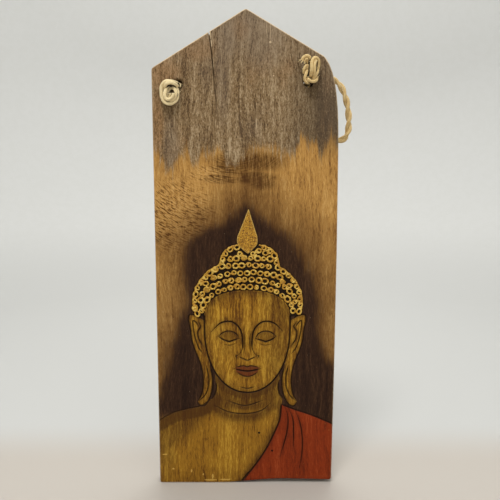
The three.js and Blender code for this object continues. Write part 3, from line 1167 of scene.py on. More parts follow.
    def oiled(self, grain: Grain) -> Socket:
        """Colours the oiled wood below it, with its ripple figure and its scorched places.

        Args:
            grain: What the colours follow.

        Returns:
            The colour.
        """
        paint, x, height, streak, cloud = grain.paint, grain.x, grain.height, grain.streak, grain.cloud
        aside, up = x - self.ripple_middle[0], height - self.ripple_middle[1]
        away = (aside * aside + up * up).power(0.5)
        arcs = paint.node("ShaderNodeCombineXYZ", {}, {0: x * 0.8 - height * 0.6, 1: away}).outputs[0]
        ticks = paint.noise(arcs, (8.0, 1.7, 2.0), 2, 0.5) + (cloud - 0.5) * 0.2
        comb = paint.noise(arcs, (12.0, 1.5, 2.0), 2, 0.5)
        patch = grain.spots(self.rippled)
        combed = (comb - 0.5) * (x.ease(14, -14) * 2.6 + 0.9)
        blot = grain.spots(self.scorched) * 0.8
        burnt = blot * (1.0 + combed + (cloud - 0.5) * 1.0 - (streak - 0.5) * 0.9)
        return paint.coats(
            self.fresh.along(paint, (streak - 0.5) * 0.75 + 0.5),
            (cloud.ease(0.5, 0.72) * 0.3, self.stain),
            (grain.fleck.ease(0.4, 0.27) * 0.4, self.pore),
            (x.ease(92, 112) * height.ease(425, 470) * 0.6, self.faded),
            (ticks.ease(0.5, 0.38) * patch * 0.5, self.ripple_gap),
            (ticks.ease(0.54, 0.62) * patch, self.ripple),
            (burnt.clamped() * 0.88, self.scorch),
        )

    def figure(self, grain: Grain, wood: object) -> tuple[Socket, Signal]:
        """Lays the skin, robe, hair and lips over the wood, and tells where it is painted thickly.

        Args:
            grain: What the colours follow.
            wood: The colour below.

        Returns:
            The colour, and where skin or robe is painted.
        """
        paint, streak, cloud = grain.paint, grain.streak, grain.cloud
        skin = grain.ragged("skin", 1.2, (-0.4, 0.4))
        robe = grain.ragged("robe", 1.0, (-0.3, 0.3))
        hair = grain.ragged("hair", 2, (-0.8, 0.6))
        shade = paint.field("shade")
        grained = (streak - 0.5) * (grain.height.ease(100, 130) * 0.35 + 0.65)
        rubbed = shade * (1.3 - streak * 0.45) + (grain.fleck - 0.5) * 0.3 + (cloud - 0.55) * 0.4
        gold = paint.coats(
            self.gold.along(paint, grained + 0.5 + (cloud - 0.5) * 0.7),
            (rubbed.clamped() * 0.85, self.shade),
            (paint.field("eyes").ease(-0.5, 0.5) * 0.4, self.shade),
            (paint.field("lips").ease(-0.5, 0.5) * 0.85, self.lip),
        )
        red = self.robe.along(paint, streak * 0.75 + 0.12 + (cloud - 0.5) * 0.4)
        red = paint.mix(shade * 0.6, red, self.robe_shade)
        return paint.coats(wood, (hair, self.hair), (skin, gold), (robe, red)), skin.most(robe)

    def edges(self, grain: Grain, wood: object) -> Socket:
        """Leaves the sides, the back and the worn arrises bare, and chips the front.

        Args:
            grain: What the colours follow.
            wood: The colour below.

        Returns:
            The colour.
        """
        paint, y, height = grain.paint, grain.y, grain.height
        flecked = grain.fleck - 0.5
        front = y.ease(self.bare_from, self.painted_from)
        bare = self.bare.along(paint, grain.streak)
        flake = paint.mix(height.ease(90, 120), self.flaked, self.cream)
        chips = (grain.spots(self.chipped) + flecked * 2.0).ease(0.45, 0.7)
        scratches = grain.spots(self.scratched) * 0.4
        worn = (paint.field("rim") + flecked * 2.2).ease(1.7, 0.6) * y.ease(-0.1, -1.2)
        much = height.ease(380, 540) * 0.2 + height.ease(546, 560) * 0.4 + 0.25
        return paint.coats(
            wood,
            ((y + flecked * 0.6).ease(self.painted_from, self.bare_from), bare),
            ((chips * 0.7).most(scratches) * front, flake),
            # Painted shade of the nail holes, as near-black spots.
            (grain.spots(self.nailed).ease(0.2, 0.6) * front, self.nail_hole_shade),
            (worn * much, self.cream),
        )


@dataclass
class Plank:
    """The board with its holes, split, carving and paint."""

    drawing: Drawing
    thickness: float = 22.0
    lower_end: float = -2.8
    left_foot: float = -117.5
    left_shoulder: tuple[float, float] = (-118.4, 550.6)
    apex: tuple[float, float] = (1.0, 622.9)
    worn_shoulder: Line = ((100.5, 564.6), (117.0, 545.0), (119.2, 500.0), (119.6, 450.0))
    right_bow: Line = ((119.6, 450.0), (120.9, 260.0), (117.9, -2.8))
    end_step: Point = (5.6, -40.0, 50.0)
    end_fall: float = 1.4
    corner_round: float = 3.0
    arris: float = 1.0
    cell: float = 2.1
    fine_within: tuple[float, ...] = (3.2, 2.0)
    holes: Line = ((-85.6, -2.0), (80.3, 1.1))
    holes_behind: Line = ((-84.7, -1.15), (80.2, 2.2))
    hole_diameter: float = 13.5
    diameter_behind: float = 9.2
    split_line: Line = ((-46.4, 602), (-41.3, 560.2), (-39.5, 535.8), (-37.2, 511.1), (-34.8, 480.1))
    split_width: float = 1.8
    split_depth: float = 12.0

    def build(self) -> None:
        """Makes and dresses the board."""
        board = self.blank()
        self.slice_up(board)
        self.drill(board)
        self.open_split(board)
        for reach in self.fine_within:
            self.refine(board, reach)
        self.carve(board)
        self.note_paint(board)
        choose(board)
        bpy.ops.object.shade_smooth_by_angle(angle=math.radians(45))
        hand_over(board, PlankFinish().material(), "wood", "board")

    def outline(self) -> np.ndarray:
        """Draws the board's outline.

        Returns:
            Its corners, one a row, from the lower left one.
        """
        a, b, c, d = np.asarray(self.worn_shoulder)
        t = np.linspace(0, 1, 9)[:, None]
        worn = (1 - t) ** 3 * a + 3 * t * (1 - t) ** 2 * b + 3 * t**2 * (1 - t) * c + t**3 * d
        a, b, c = np.asarray(self.right_bow)
        t = np.linspace(0, 1, 7)[1:, None]
        bow = (1 - t) ** 2 * a + 2 * t * (1 - t) * b + t**2 * c
        return np.vstack([(self.left_foot, self.lower_end), self.left_shoulder, self.apex, worn, bow])

    def blank(self) -> Piece:
        """Cuts the board's outline from a block and rounds its corners and arrises.

        Returns:
            The board.
        """
        outline = self.outline()
        (left, low), (right, high) = outline.min(0), outline.max(0)
        middle = in_frame((left + right) / 2, -self.thickness / 2, (low + high) / 2)
        bpy.ops.mesh.primitive_cube_add(size=1, location=middle)
        board = bpy.context.object
        board.scale = ((right - left + 4) * MM, self.thickness * MM, (high - low) * MM)
        board = join("board_fine", [board])
        with editing(board):
            for start, end in zip(outline[:-1], outline[1:]):
                run, rise = (end - start) / np.linalg.norm(end - start)
                bpy.ops.mesh.select_all(action="SELECT")
                bpy.ops.mesh.bisect(
                    plane_co=in_frame(start[0], 0, start[1]), plane_no=(-rise, 0, run), use_fill=True,
                    clear_outer=True,
                )
            bpy.ops.mesh.select_all(action="SELECT")
            bpy.ops.mesh.dissolve_limited(angle_limit=math.radians(0.3))
        self.round_edges(board, self.corner_round, across=False)
        self.round_edges(board, self.arris, across=True)
        return board

    def round_edges(self, board: Piece, radius: float, across: bool) -> None:
        """Rounds the sharp edges that run through the board, or those of its front and back.

        Args:
            board: The board.
            radius: How far they are rounded.
            across: Whether it is those of the front and back.
        """

        def sharp(edge: bmesh.types.BMEdge) -> bool:
            """Tells whether an edge is sharp and runs the way that is asked for."""
            through = abs((edge.verts[1].co - edge.verts[0].co).normalized().y) > 0.9
            return through != across and edge.calc_face_angle(0) > math.radians(25)

        with editing(board):
            pick(board, "edges", sharp)
            bpy.ops.mesh.bevel(offset=radius * MM, segments=3, affect="EDGES")

    def slice_up(self, board: Piece) -> None:
        """Gives all but the back a net of small faces, and closes the back with one.

        Args:
            board: The board.
        """
        (left, low), (right, high) = self.outline().min(0), self.outline().max(0)
        levels = np.arange(low + 4, high, self.cell) - HANG_HEIGHT
        columns = np.arange(left + 1.8, right, self.cell)
        layers = (-17, -11, -5)
        cuts = [((0, 0, level), (0, 0, 1)) for level in levels]
        cuts += [((column, 0, 0), (1, 0, 0)) for column in columns]
        cuts += [((0, layer, 0), (0, 1, 0)) for layer in layers]
        with editing(board):
            pick(board, "faces", lambda face: face.normal.y > 0.999)
            bpy.ops.mesh.delete(type="FACE")
            for place, normal in cuts:
                bpy.ops.mesh.select_all(action="SELECT")
                bpy.ops.mesh.bisect(plane_co=[part * MM for part in place], plane_no=normal)
            pick(board, "edges", lambda edge: edge.is_boundary)
            bpy.ops.mesh.edge_face_add()
            turn_outward()

    def drill(self, board: Piece) -> None:
        """Drills the rope's two holes, which narrow and lean towards the back.

        Args:
            board: The board.
        """
        for (x, z), (back_x, back_z) in zip(self.holes, self.holes_behind):
            bpy.ops.mesh.primitive_cone_add(
                vertices=48, radius1=self.diameter_behind / 2 * MM, radius2=self.hole_diameter / 2 * MM,
                depth=(self.thickness + 2) * MM, location=(x * MM, -self.thickness / 2 * MM, z * MM),
                rotation=(math.pi / 2, 0, 0),
            )
            cutter = join("hole_cutter", [bpy.context.object])
            with editing(cutter):
                pick(cutter, "verts", lambda corner: corner.co.y > 0)
                bpy.ops.transform.translate(value=((back_x - x) * MM, 0, (back_z - z) * MM))
            self.subtract(board, cutter)

    def open_split(self, board: Piece) -> None:
        """Opens the drying split that runs down from the left slope.

        Args:
            board: The board.
        """
        line = smooth_line(self.split_line, 12)
        above, narrowest = 1.0, 0.12
        bpy.ops.mesh.primitive_grid_add(x_subdivisions=1, y_subdivisions=len(line) - 1, size=1)
        wedge = bpy.context.object
        wedge.rotation_euler = (math.pi / 2, 0, 0)
        wedge = join("split_cutter", [wedge])
        rows = sorted(wedge.data.vertices, key=lambda corner: -corner.co.z)
        for step, (x, height) in enumerate(line):
            half = max(self.split_width / 2 * (1 - step / (len(line) - 1)), narrowest)
            for corner in rows[2 * step: 2 * step + 2]:
                side = 1 if corner.co.x > 0 else -1
                corner.co = in_frame(x + side * half, FRONT - above, height)
        draw_out(wedge, self.split_depth + above)
        self.subtract(board, wedge)

    def subtract(self, board: Piece, cutter: Piece) -> None:
        """Cuts one solid out of the board and drops it."""
        modify(board, "BOOLEAN", operation="DIFFERENCE", solver="MANIFOLD", object=cutter)
        bpy.data.objects.remove(cutter)

    def busy(self, places: np.ndarray, reach: float) -> np.ndarray:
        """Tells which places are within reach of a carved line, a hole or the split.

        Args:
            places: Places on the drawing.
            reach: How near is near enough.

        Returns:
            True or false for each place.
        """
        lines = [smooth_line(stroke.points, 3) for stroke in self.drawing.strokes()]
        lines.append(smooth_line(self.split_line, 5))
        close = np.abs(self.off_holes(places)) < reach
        for line in lines:
            near = round_about(places, line, reach)
            close[near] |= distance_along(places[near], line)[0] < reach
        return close

    def off_holes(self, places: np.ndarray) -> np.ndarray:
        """Gives each place's distance from the edge of the nearer hole, negative inside it."""
        return np.min([
            np.hypot(places[:, 0] - x, places[:, 1] - z - HANG_HEIGHT) for x, z in self.holes
        ], axis=0) - self.hole_diameter / 2

    def refine(self, board: Piece, reach: float) -> None:
        """Quarters the front faces near what is carved or cut.

        Args:
            board: The board.
            reach: How near to a cut they lie.
        """
        middles = vectors(board.data.polygons, "center") / MM
        normals = vectors(board.data.polygons, "normal")
        front = (normals[:, 1] < -0.95) & (middles[:, 1] < FRONT + 0.3)
        chosen = front & self.busy(on_drawing(middles), reach)
        with editing(board):
            pick(board, "faces", lambda face: chosen[face.index])
            bpy.ops.mesh.subdivide(number_cuts=1)

    def carve(self, board: Piece) -> None:
        """Sinks the carved lines and works the old wood's grain into the surface.

        Args:
            board: The board.
        """
        places = corners(board)
        front = places[:, 1] < FRONT + 0.02
        sheet = on_drawing(places[front])
        sunk, raised = np.zeros(len(places)), np.zeros(len(places))
        sunk[front] = np.maximum(self.drawing.carve(sheet)[0], self.worn(sheet))
        raised[front] = self.grain(sheet) * (sunk[front] < 0.05)
        step, start, end = self.end_step
        right_foot = 118
        x, height = on_drawing(places).T
        lifted = step * smoothstep(start, end, x)
        lifted -= self.end_fall * np.clip((x - end) / (right_foot - end), 0, 1)
        lifted *= smoothstep(self.lower_end + 24, self.lower_end, height)
        for direction, sign, away in (("Y", 1, sunk), ("Y", -1, raised), ("Z", 1, lifted)):
            push(board, direction, away / away.max(), sign * float(away.max()))

    def worn(self, sheet: np.ndarray) -> np.ndarray:
        """Gives the wear round the holes and along the split, in millimetres."""
        away = distance_along(sheet, smooth_line(self.split_line, 4))[0]
        at_holes = 0.9 * np.clip(1 - self.off_holes(sheet) / 1.6, 0, 1) ** 2
        return np.maximum(at_holes, 0.6 * np.clip(1 - away / 1.8, 0, 1) ** 2)

    def grain(self, sheet: np.ndarray) -> np.ndarray:
        """Gives the grain's ridges, higher where the wood is weathered, in millimetres.

        Args:
            sheet: Places on the drawing.

        Returns:
            How far the surface stands up.
        """
        x, height = sheet.T
        x = x + 5 * uneven(x / 60, height / 110, 3)
        ridges = 0.6 * uneven(x / 4.6, height / 90, 5) + 0.4 * uneven(x / 9, height / 160, 7)
        old = smoothstep(420, 470, height)
        return ridges * (0.12 + 0.38 * old)

    def note_paint(self, board: Piece) -> None:
        """Writes what is painted where on the mesh, for the finish to read.

        Args:
            board: The board.
        """
        places = corners(board)
        sheet = on_drawing(places)
        cut = self.drawing.carve(sheet)[1] * (places[:, 1] < FRONT + 2.5)
        rim = inside_distance(sheet, self.outline())
        write_fields(board, **self.drawing.paint(sheet), cut=cut, rim=rim)


@dataclass(frozen=True)
class PasteFinish:
    """Gilded paste: gold on what stands up, painted shade low down, a painted highlight on crests and rims.
    """

    name: str
    gold: Colour = (196, 146, 34)
    amber: Colour = (150, 98, 22)
    # Painted highlight on the paste's crests and along the flame's rim.
    painted_highlight: Colour = (240, 216, 120)
    # Near-black base: painted shade low on the paste, in the crevices round and inside the curls.
    hollow: Colour = (26, 17, 10)
    dark_grit: Colour = (88, 54, 14)
    pale_grit: Colour = (220, 176, 70)
    floor: float = 0.15
    crest: float = 0.75
    lip: tuple[float, float] = (1.0, 1.5)
    grit: float = 1.6
    speckle: float = 0.5
    shine: float = 0.42
    # How strong the painted highlight on the crests is.
    highlight_share: float = 0.8

    def material(self) -> bpy.types.Material:
        """Mixes the gilding, with painted shade low down and a painted highlight on crests and rims.

        Returns:
            The material.
        """
        paint = Paint(self.name)
        place, _, y, _ = paint.place()
        grain = paint.noise(place, (self.grit,) * 3, 4, 0.6)
        patch = paint.noise(place, (7, 7, 7), 3)
        lift = (FRONT - y) + (grain - 0.5) * 0.7
        # Painted highlight: on the highest parts, in patches, and along the flame's rim.
        lip = lift.ease(*self.lip) * patch.ease(0.62, 0.4) * grain.ease(0.36, 0.6)
        lip = (lip * self.highlight_share + paint.field("border") * 0.9).clamped()
        colour = paint.coats(
            # Painted shade: near-black low down, turning to gold as the paste stands up.
            self.hollow,
            (lift.ease(self.floor, self.crest), self.gold),
            (patch.ease(0.45, 0.68) * 0.5, self.amber),
            (grain.ease(0.5, 0.35) * self.speckle, self.dark_grit),
            (grain.ease(0.54, 0.68) * self.speckle, self.pale_grit),
            (lip * 0.8, self.painted_highlight),
        )
        return paint.finish(colour, self.shine + (grain - 0.5) * 0.2, grain, 0.0005, 0.15)


@dataclass
class Curls:
    """The hair: rings and coils of gilded paste, in rows along the hairline."""

    drawing: Drawing
    pitch: float = 8.8
    row_gap: float = 9.6
    rows: int = 7
    first_row: float = 4.6
    margin: float = 4.3
    welt_margin: float = 1.9
    ring: float = 3.15
    cord: float = 1.05
    blob_radius: float = 2.6
    grid: float = 0.46
    lumps: float = 0.7
    seed: int = 11

    def march(self, line: np.ndarray, lead: float) -> Iterator[Point]:
        """Walks a line and gives x, height and direction at every curl's pitch.

        Args:
            line: Its points, close together.
            lead: How much of the first pitch is walked before the line starts.

        Yields:
            The next curl's x, height and direction.
        """
        walked = lead
        for start, end in zip(line[:-1], line[1:]):
            step = end - start
            walked += float(np.hypot(*step))
            if walked >= self.pitch:
                walked -= self.pitch
                yield float(end[0]), float(end[1]), math.atan2(step[1], step[0])

    def rim(self, inset: float) -> np.ndarray:
        """Gives a line just inside the hair's outer edge, from the right temple to the left one.

        Args:
            inset: How far inside the edge it runs.

        Returns:
            The points, one a row.
        """
        drawing, lines = self.drawing, []
        turns = np.linspace(-0.35, math.pi + 0.35, 1600)
        for oval, other in ((drawing.head_cap, drawing.topknot), (drawing.topknot, drawing.head_cap)):
            aside, width, middle, rise, fullness = oval
            line = drawing.arch(width / 2 - inset, middle, rise - inset, turns, fullness, aside)
            free = (drawing.in_oval(line, other, inset) < 0) & (line[:, 1] > drawing.temple)
            lines.append(line[free])
        cap, knot = lines
        right = cap[:, 0] > drawing.axis
        return np.vstack([cap[right], knot, cap[~right]])

    def places(self) -> list[Point]:
        """Spreads the curls over the hair: along its rim, then in rows, then in the gaps.

        Returns:
            Each curl's x, height and direction.
        """
        drawing = self.drawing
        half, rise = drawing.face_width / 2, drawing.hairline_rise
        middle = drawing.hairline - rise
        found = [spot for spot in self.march(self.rim(self.margin), 4.0) if self.clear(spot)]
        turns = np.linspace(0, math.pi, 1600)
        for row in range(self.rows):
            reach = self.first_row + self.row_gap * row
            arch = drawing.arch(half + reach, middle, rise + reach, turns)
            for spot in self.march(arch, self.pitch * (0.5 if row % 2 else 1)):
                if self.fits(spot, found, 0.83):
                    found.append(spot)
        for height in np.arange(drawing.temple, drawing.flame_tip, 1.2):
            for x in np.arange(-80, 85, 1.2):
                outside = math.hypot((x - drawing.axis) / half, (height - middle) / rise)
                spot = (float(x), float(height), 0.0)
                if outside > 1.09 and self.fits(spot, found, 0.79):
                    found.append(spot)
        return found

    def fits(self, spot: Point, found: Sequence[tuple], share: float) -> bool:
        """Tells whether a curl at a spot is in the hair and no nearer others than a share of the pitch.

        Args:
            spot: The curl's x, height and direction.
            found: The curls so far.
            share: The least distance from them, in pitches.

        Returns:
            Whether it fits.
        """
        drawing = self.drawing
        point = np.asarray(spot[:2])[None]
        ovals = (drawing.head_cap, drawing.topknot)
        deep = max(float(drawing.in_oval(point, oval, self.margin)[0]) for oval in ovals)
        if deep < 0 or spot[1] < drawing.temple - 2 or not self.clear(spot):
            return False
        return all(math.dist(spot[:2], other[:2]) >= share * self.pitch for other in found)

    def clear(self, spot: Sequence[float]) -> bool:
        """Tells whether a curl at a spot stands clear of the flame."""
        away = abs(spot[0] - self.drawing.axis) - self.drawing.flame_half(spot[1])
        return away > 3.0 or spot[1] < self.drawing.flame_foot - 4

    def models(self) -> list[Piece]:
        """Makes the curls that are copied.

        Returns:
            A ring, a coil and a coil wound the other way.
        """
        bpy.ops.mesh.primitive_torus_add(
            major_segments=20, minor_segments=10, major_radius=self.ring * MM, minor_radius=self.cord * MM
        )
        made = [bpy.context.object]
        turn = np.linspace(0, 2.55 * math.pi, 30)
        reach = np.interp(turn, (0, 4.6, turn[-1]), (3.0, 2.6, 0.7))
        for side in (1, -1):
            track = np.column_stack([reach * np.cos(turn), side * reach * np.sin(turn), 0.05 * turn])
            made.append(tubes("coil", [track], self.cord * 0.92, 2))
        return made

    def press(self, model: Piece, spot: Point, chance: np.random.Generator) -> Piece:
        """Copies a curl to a spot, a little out of shape, out of true and out of place.

        Args:
            model: The curl that is copied.
            spot: Its x, height and direction.
            chance: The random numbers.

        Returns:
            The copy, with its own mesh.
        """
        x, height, angle = spot
        curl = model.copy()
        curl.data = model.data.copy()
        bpy.context.scene.collection.objects.link(curl)
        size = chance.uniform(0.92, 1.08)
        stretch = (size * chance.uniform(1.06, 1.24), size * chance.uniform(0.92, 1.06), 1.0)
        lean = chance.normal(0, 0.12, 2).tolist()
        drift = chance.normal(0, 0.45, 2).tolist()
        curl.matrix_world = (
            Matrix.Translation(in_frame(x + drift[0], FRONT - 0.3, height + drift[1]))
            @ Matrix.Rotation(-angle, 4, "Y")
            @ Matrix.Rotation(math.pi / 2 + lean[0], 4, "X")
            @ Matrix.Rotation(lean[1], 4, "Y")
            @ Matrix.Diagonal((*stretch, 1.0))
        )
        return curl

    def build(self) -> None:
        """Presses the curls together into one piece and dresses it."""
        chance = np.random.default_rng(self.seed)
        models, parts = self.models(), []
        for spot in self.places():
            model = models[int(chance.choice(3, p=(0.46, 0.27, 0.27)))]
            parts.append(self.press(model, spot, chance))
            if chance.random() < 0.12:
                parts.append(self.blob(*spot[:2]))
        log.info("hair: %d curls and blobs", len(parts))
        parts.append(self.welt())
        for model in models:
            bpy.data.objects.remove(model)
        hair = join("curls", parts)
        modify(hair, "REMESH", mode="VOXEL", voxel_size=self.grid * MM, use_smooth_shade=True)
        modify(hair, "SMOOTH", factor=0.5, iterations=1)
        x, height = on_drawing(corners(hair)).T
        lumps = uneven(x / 1.5, height / 1.5, 31) * uneven(x / 4, height / 4, 32)
        push(hair, "NORMAL", lumps, self.lumps)
        hand_over(hair, PasteFinish("gilded_curls").material(), "wood")

    def welt(self) -> Piece:
        """Makes the cord of paste that runs round the hair's outer edge.

        Returns:
            The cord.
        """
        line = smooth_line(self.rim(self.welt_margin)[::40], 1.0)
        clear = np.asarray([self.clear(place) for place in line])
        wave = 0.5 * np.sin(np.arange(len(line)) / 1.9)
        track = np.column_stack([line[:, 0], FRONT - 0.1 + 0.4 * wave, line[:, 1] - HANG_HEIGHT + wave])
        breaks = np.flatnonzero(np.diff(clear.astype(int))) + 1
        runs = [run for run in np.split(np.arange(len(line)), breaks) if clear[run[0]] and len(run) > 3]
        return tubes("welt", [track[run] for run in runs], 1.1, 2)

    def blob(self, x: float, height: float) -> Piece:
        """Makes the blob that fills a curl's middle where the paste ran.

        Args:
            x: Its x on the drawing.
            height: Its height on the drawing.

        Returns:
            The blob.
        """
        bpy.ops.mesh.primitive_ico_sphere_add(
            subdivisions=2, radius=self.blob_radius * MM, location=in_frame(x, FRONT - 0.1, height)
        )
        blob = bpy.context.object
        blob.scale = (1, 0.5, 1)
        return blob


@dataclass
class Flame:
    """The flame over the topknot, a thick drop of gritty gilded paste."""

    drawing: Drawing
    height: float = 1.8
    sunk: float = 0.6
    grit: float = 1.1

    def build(self) -> None:
        """Makes and dresses the flame."""
        drawing = self.drawing
        right = smooth_line(drawing.flame_side(), 1.5)
        outline = np.vstack([right, (right * (-1, 1))[::-1]])
        outline[:, 0] += drawing.axis + np.abs(outline[:, 1] - drawing.flame_widest) / 22
        bpy.ops.mesh.primitive_circle_add(vertices=len(outline), radius=1, fill_type="NGON")
        flame = bpy.context.object
        for corner, (x, level) in zip(flame.data.vertices, outline):
            corner.co = in_frame(x, FRONT + self.sunk, level)
        flame = join("flame", [flame])
        draw_out(flame, -(self.height + self.sunk))
        modify(flame, "BEVEL", width=0.6 * MM, segments=2, limit_method="ANGLE")
        modify(flame, "REMESH", mode="VOXEL", voxel_size=0.45 * MM, use_smooth_shade=True)
        modify(flame, "SMOOTH", factor=0.5, iterations=3)
        x, y, z = corners(flame).T
        rise = uneven(x / 0.9, z / 0.9, 21) * uneven(x / 3, z / 3, 22)
        push(flame, "Y", rise * (y < FRONT - 0.8), self.grit)
        # Painted highlight along the flame's rim, in patches.
        border = 1 - smoothstep(0.5, 1.5, inside_distance(on_drawing(corners(flame)), outline))
        write_fields(flame, border=border * (0.4 + 0.6 * uneven(x / 2, z / 2, 23)))
        # The crest highlight is set above the flame's height, so only its rim gets the painted highlight.
        finish = PasteFinish(
            "gilded_flame", gold=(178, 128, 30), amber=(140, 92, 24), painted_highlight=(206, 176, 100),
            floor=-0.6, crest=0.5, lip=(9.0, 9.9), grit=1.6, speckle=1.0, shine=0.8,
        )
        hand_over(flame, finish.material(), "wood")


@dataclass(frozen=True)
class FibreFinish:
    """Twisted plant fibre: straw-coloured, paler at the left knot, browner at the right end partly as painted
    shade.
    """

    straw: Colour = (238, 214, 156)
    pale: Colour = (254, 246, 216)
    brown: Colour = (184, 148, 90)
    fresh: Colour = (250, 234, 190)
    # Browner blotches all along, stronger towards the right end, where they are partly painted shade.
    brown_blotch_and_shade: Colour = (200, 164, 104)
    # Painted shade in the grooves between strands and yarns.
    groove_shade: Colour = (80, 54, 26)
    # Painted shade in the gaps of the knots.
    knot_gap_shade: Colour = (48, 31, 15)

    def material(self) -> bpy.types.Material:
        """Mixes the fibre, streaked along each yarn, with painted shade in its grooves and gaps.

        Returns:
            The material.
        """
        paint = Paint("rope_fibre")
        place, x, _, _ = paint.place()
        around, along, yarn = (paint.field(name) for name in ("around", "along", "yarn"))
        thread = paint.node("ShaderNodeCombineXYZ", {}, {0: around, 1: along, 2: yarn})
        streak = paint.noise(thread.outputs[0], (0.09, 14, 0.5), 3, 0.6)
        blotch = paint.noise(place, (7, 7, 7), 3)
        colour = paint.coats(
            self.brown,
            (streak.ease(0.3, 0.7), self.straw),
            (streak.ease(0.55, 0.8) * 0.6, self.pale),
            # Paler towards the left knot.
            (x.ease(-60, -85) * 0.62, self.fresh),
            # Browner blotches, stronger towards the right end as painted shade.
            (blotch.ease(0.5, 0.75) * (0.3 + x.ease(50, 70) * 0.4), self.brown_blotch_and_shade),
            # Painted shade in the grooves, where the yarns lie nearer the rope's centre.
            (paint.field("depth").ease(0.84, 0.46) * 0.94, self.groove_shade),
            # Painted shade in the knots' gaps, where the surface lies behind what is round it.
            (paint.field("sunk").ease(0.12, 1.25) * 0.95, self.knot_gap_shade),
        )
        return paint.finish(colour, 0.85, streak, 0.0003)


@dataclass(frozen=True)
class Stretch:
    """A stretch of the rope before its yarns are made.

    Each point of its line has a side, which is a direction square to it, the way walked along the
    whole rope and the strands' turn in radians.
    """

    node: str
    line: np.ndarray
    sides: np.ndarray
    walked: np.ndarray
    turns: np.ndarray

    def knotted(self) -> bool:
        """Tells whether the stretch is a knot."""
        return self.node != "rope"

    def others(self) -> np.ndarray:
        """Gives the direction square to both the line and its side, at each point."""
        return np.cross(directions(self.line), self.sides)

    def wind(self, centre: np.ndarray, reach: np.ndarray, angle: np.ndarray) -> np.ndarray:
        """Winds a line round a centre line, at a reach and an angle for each point."""
        across = np.cos(angle)[:, None] * self.sides + np.sin(angle)[:, None] * self.others()
        return centre + reach[:, None] * across


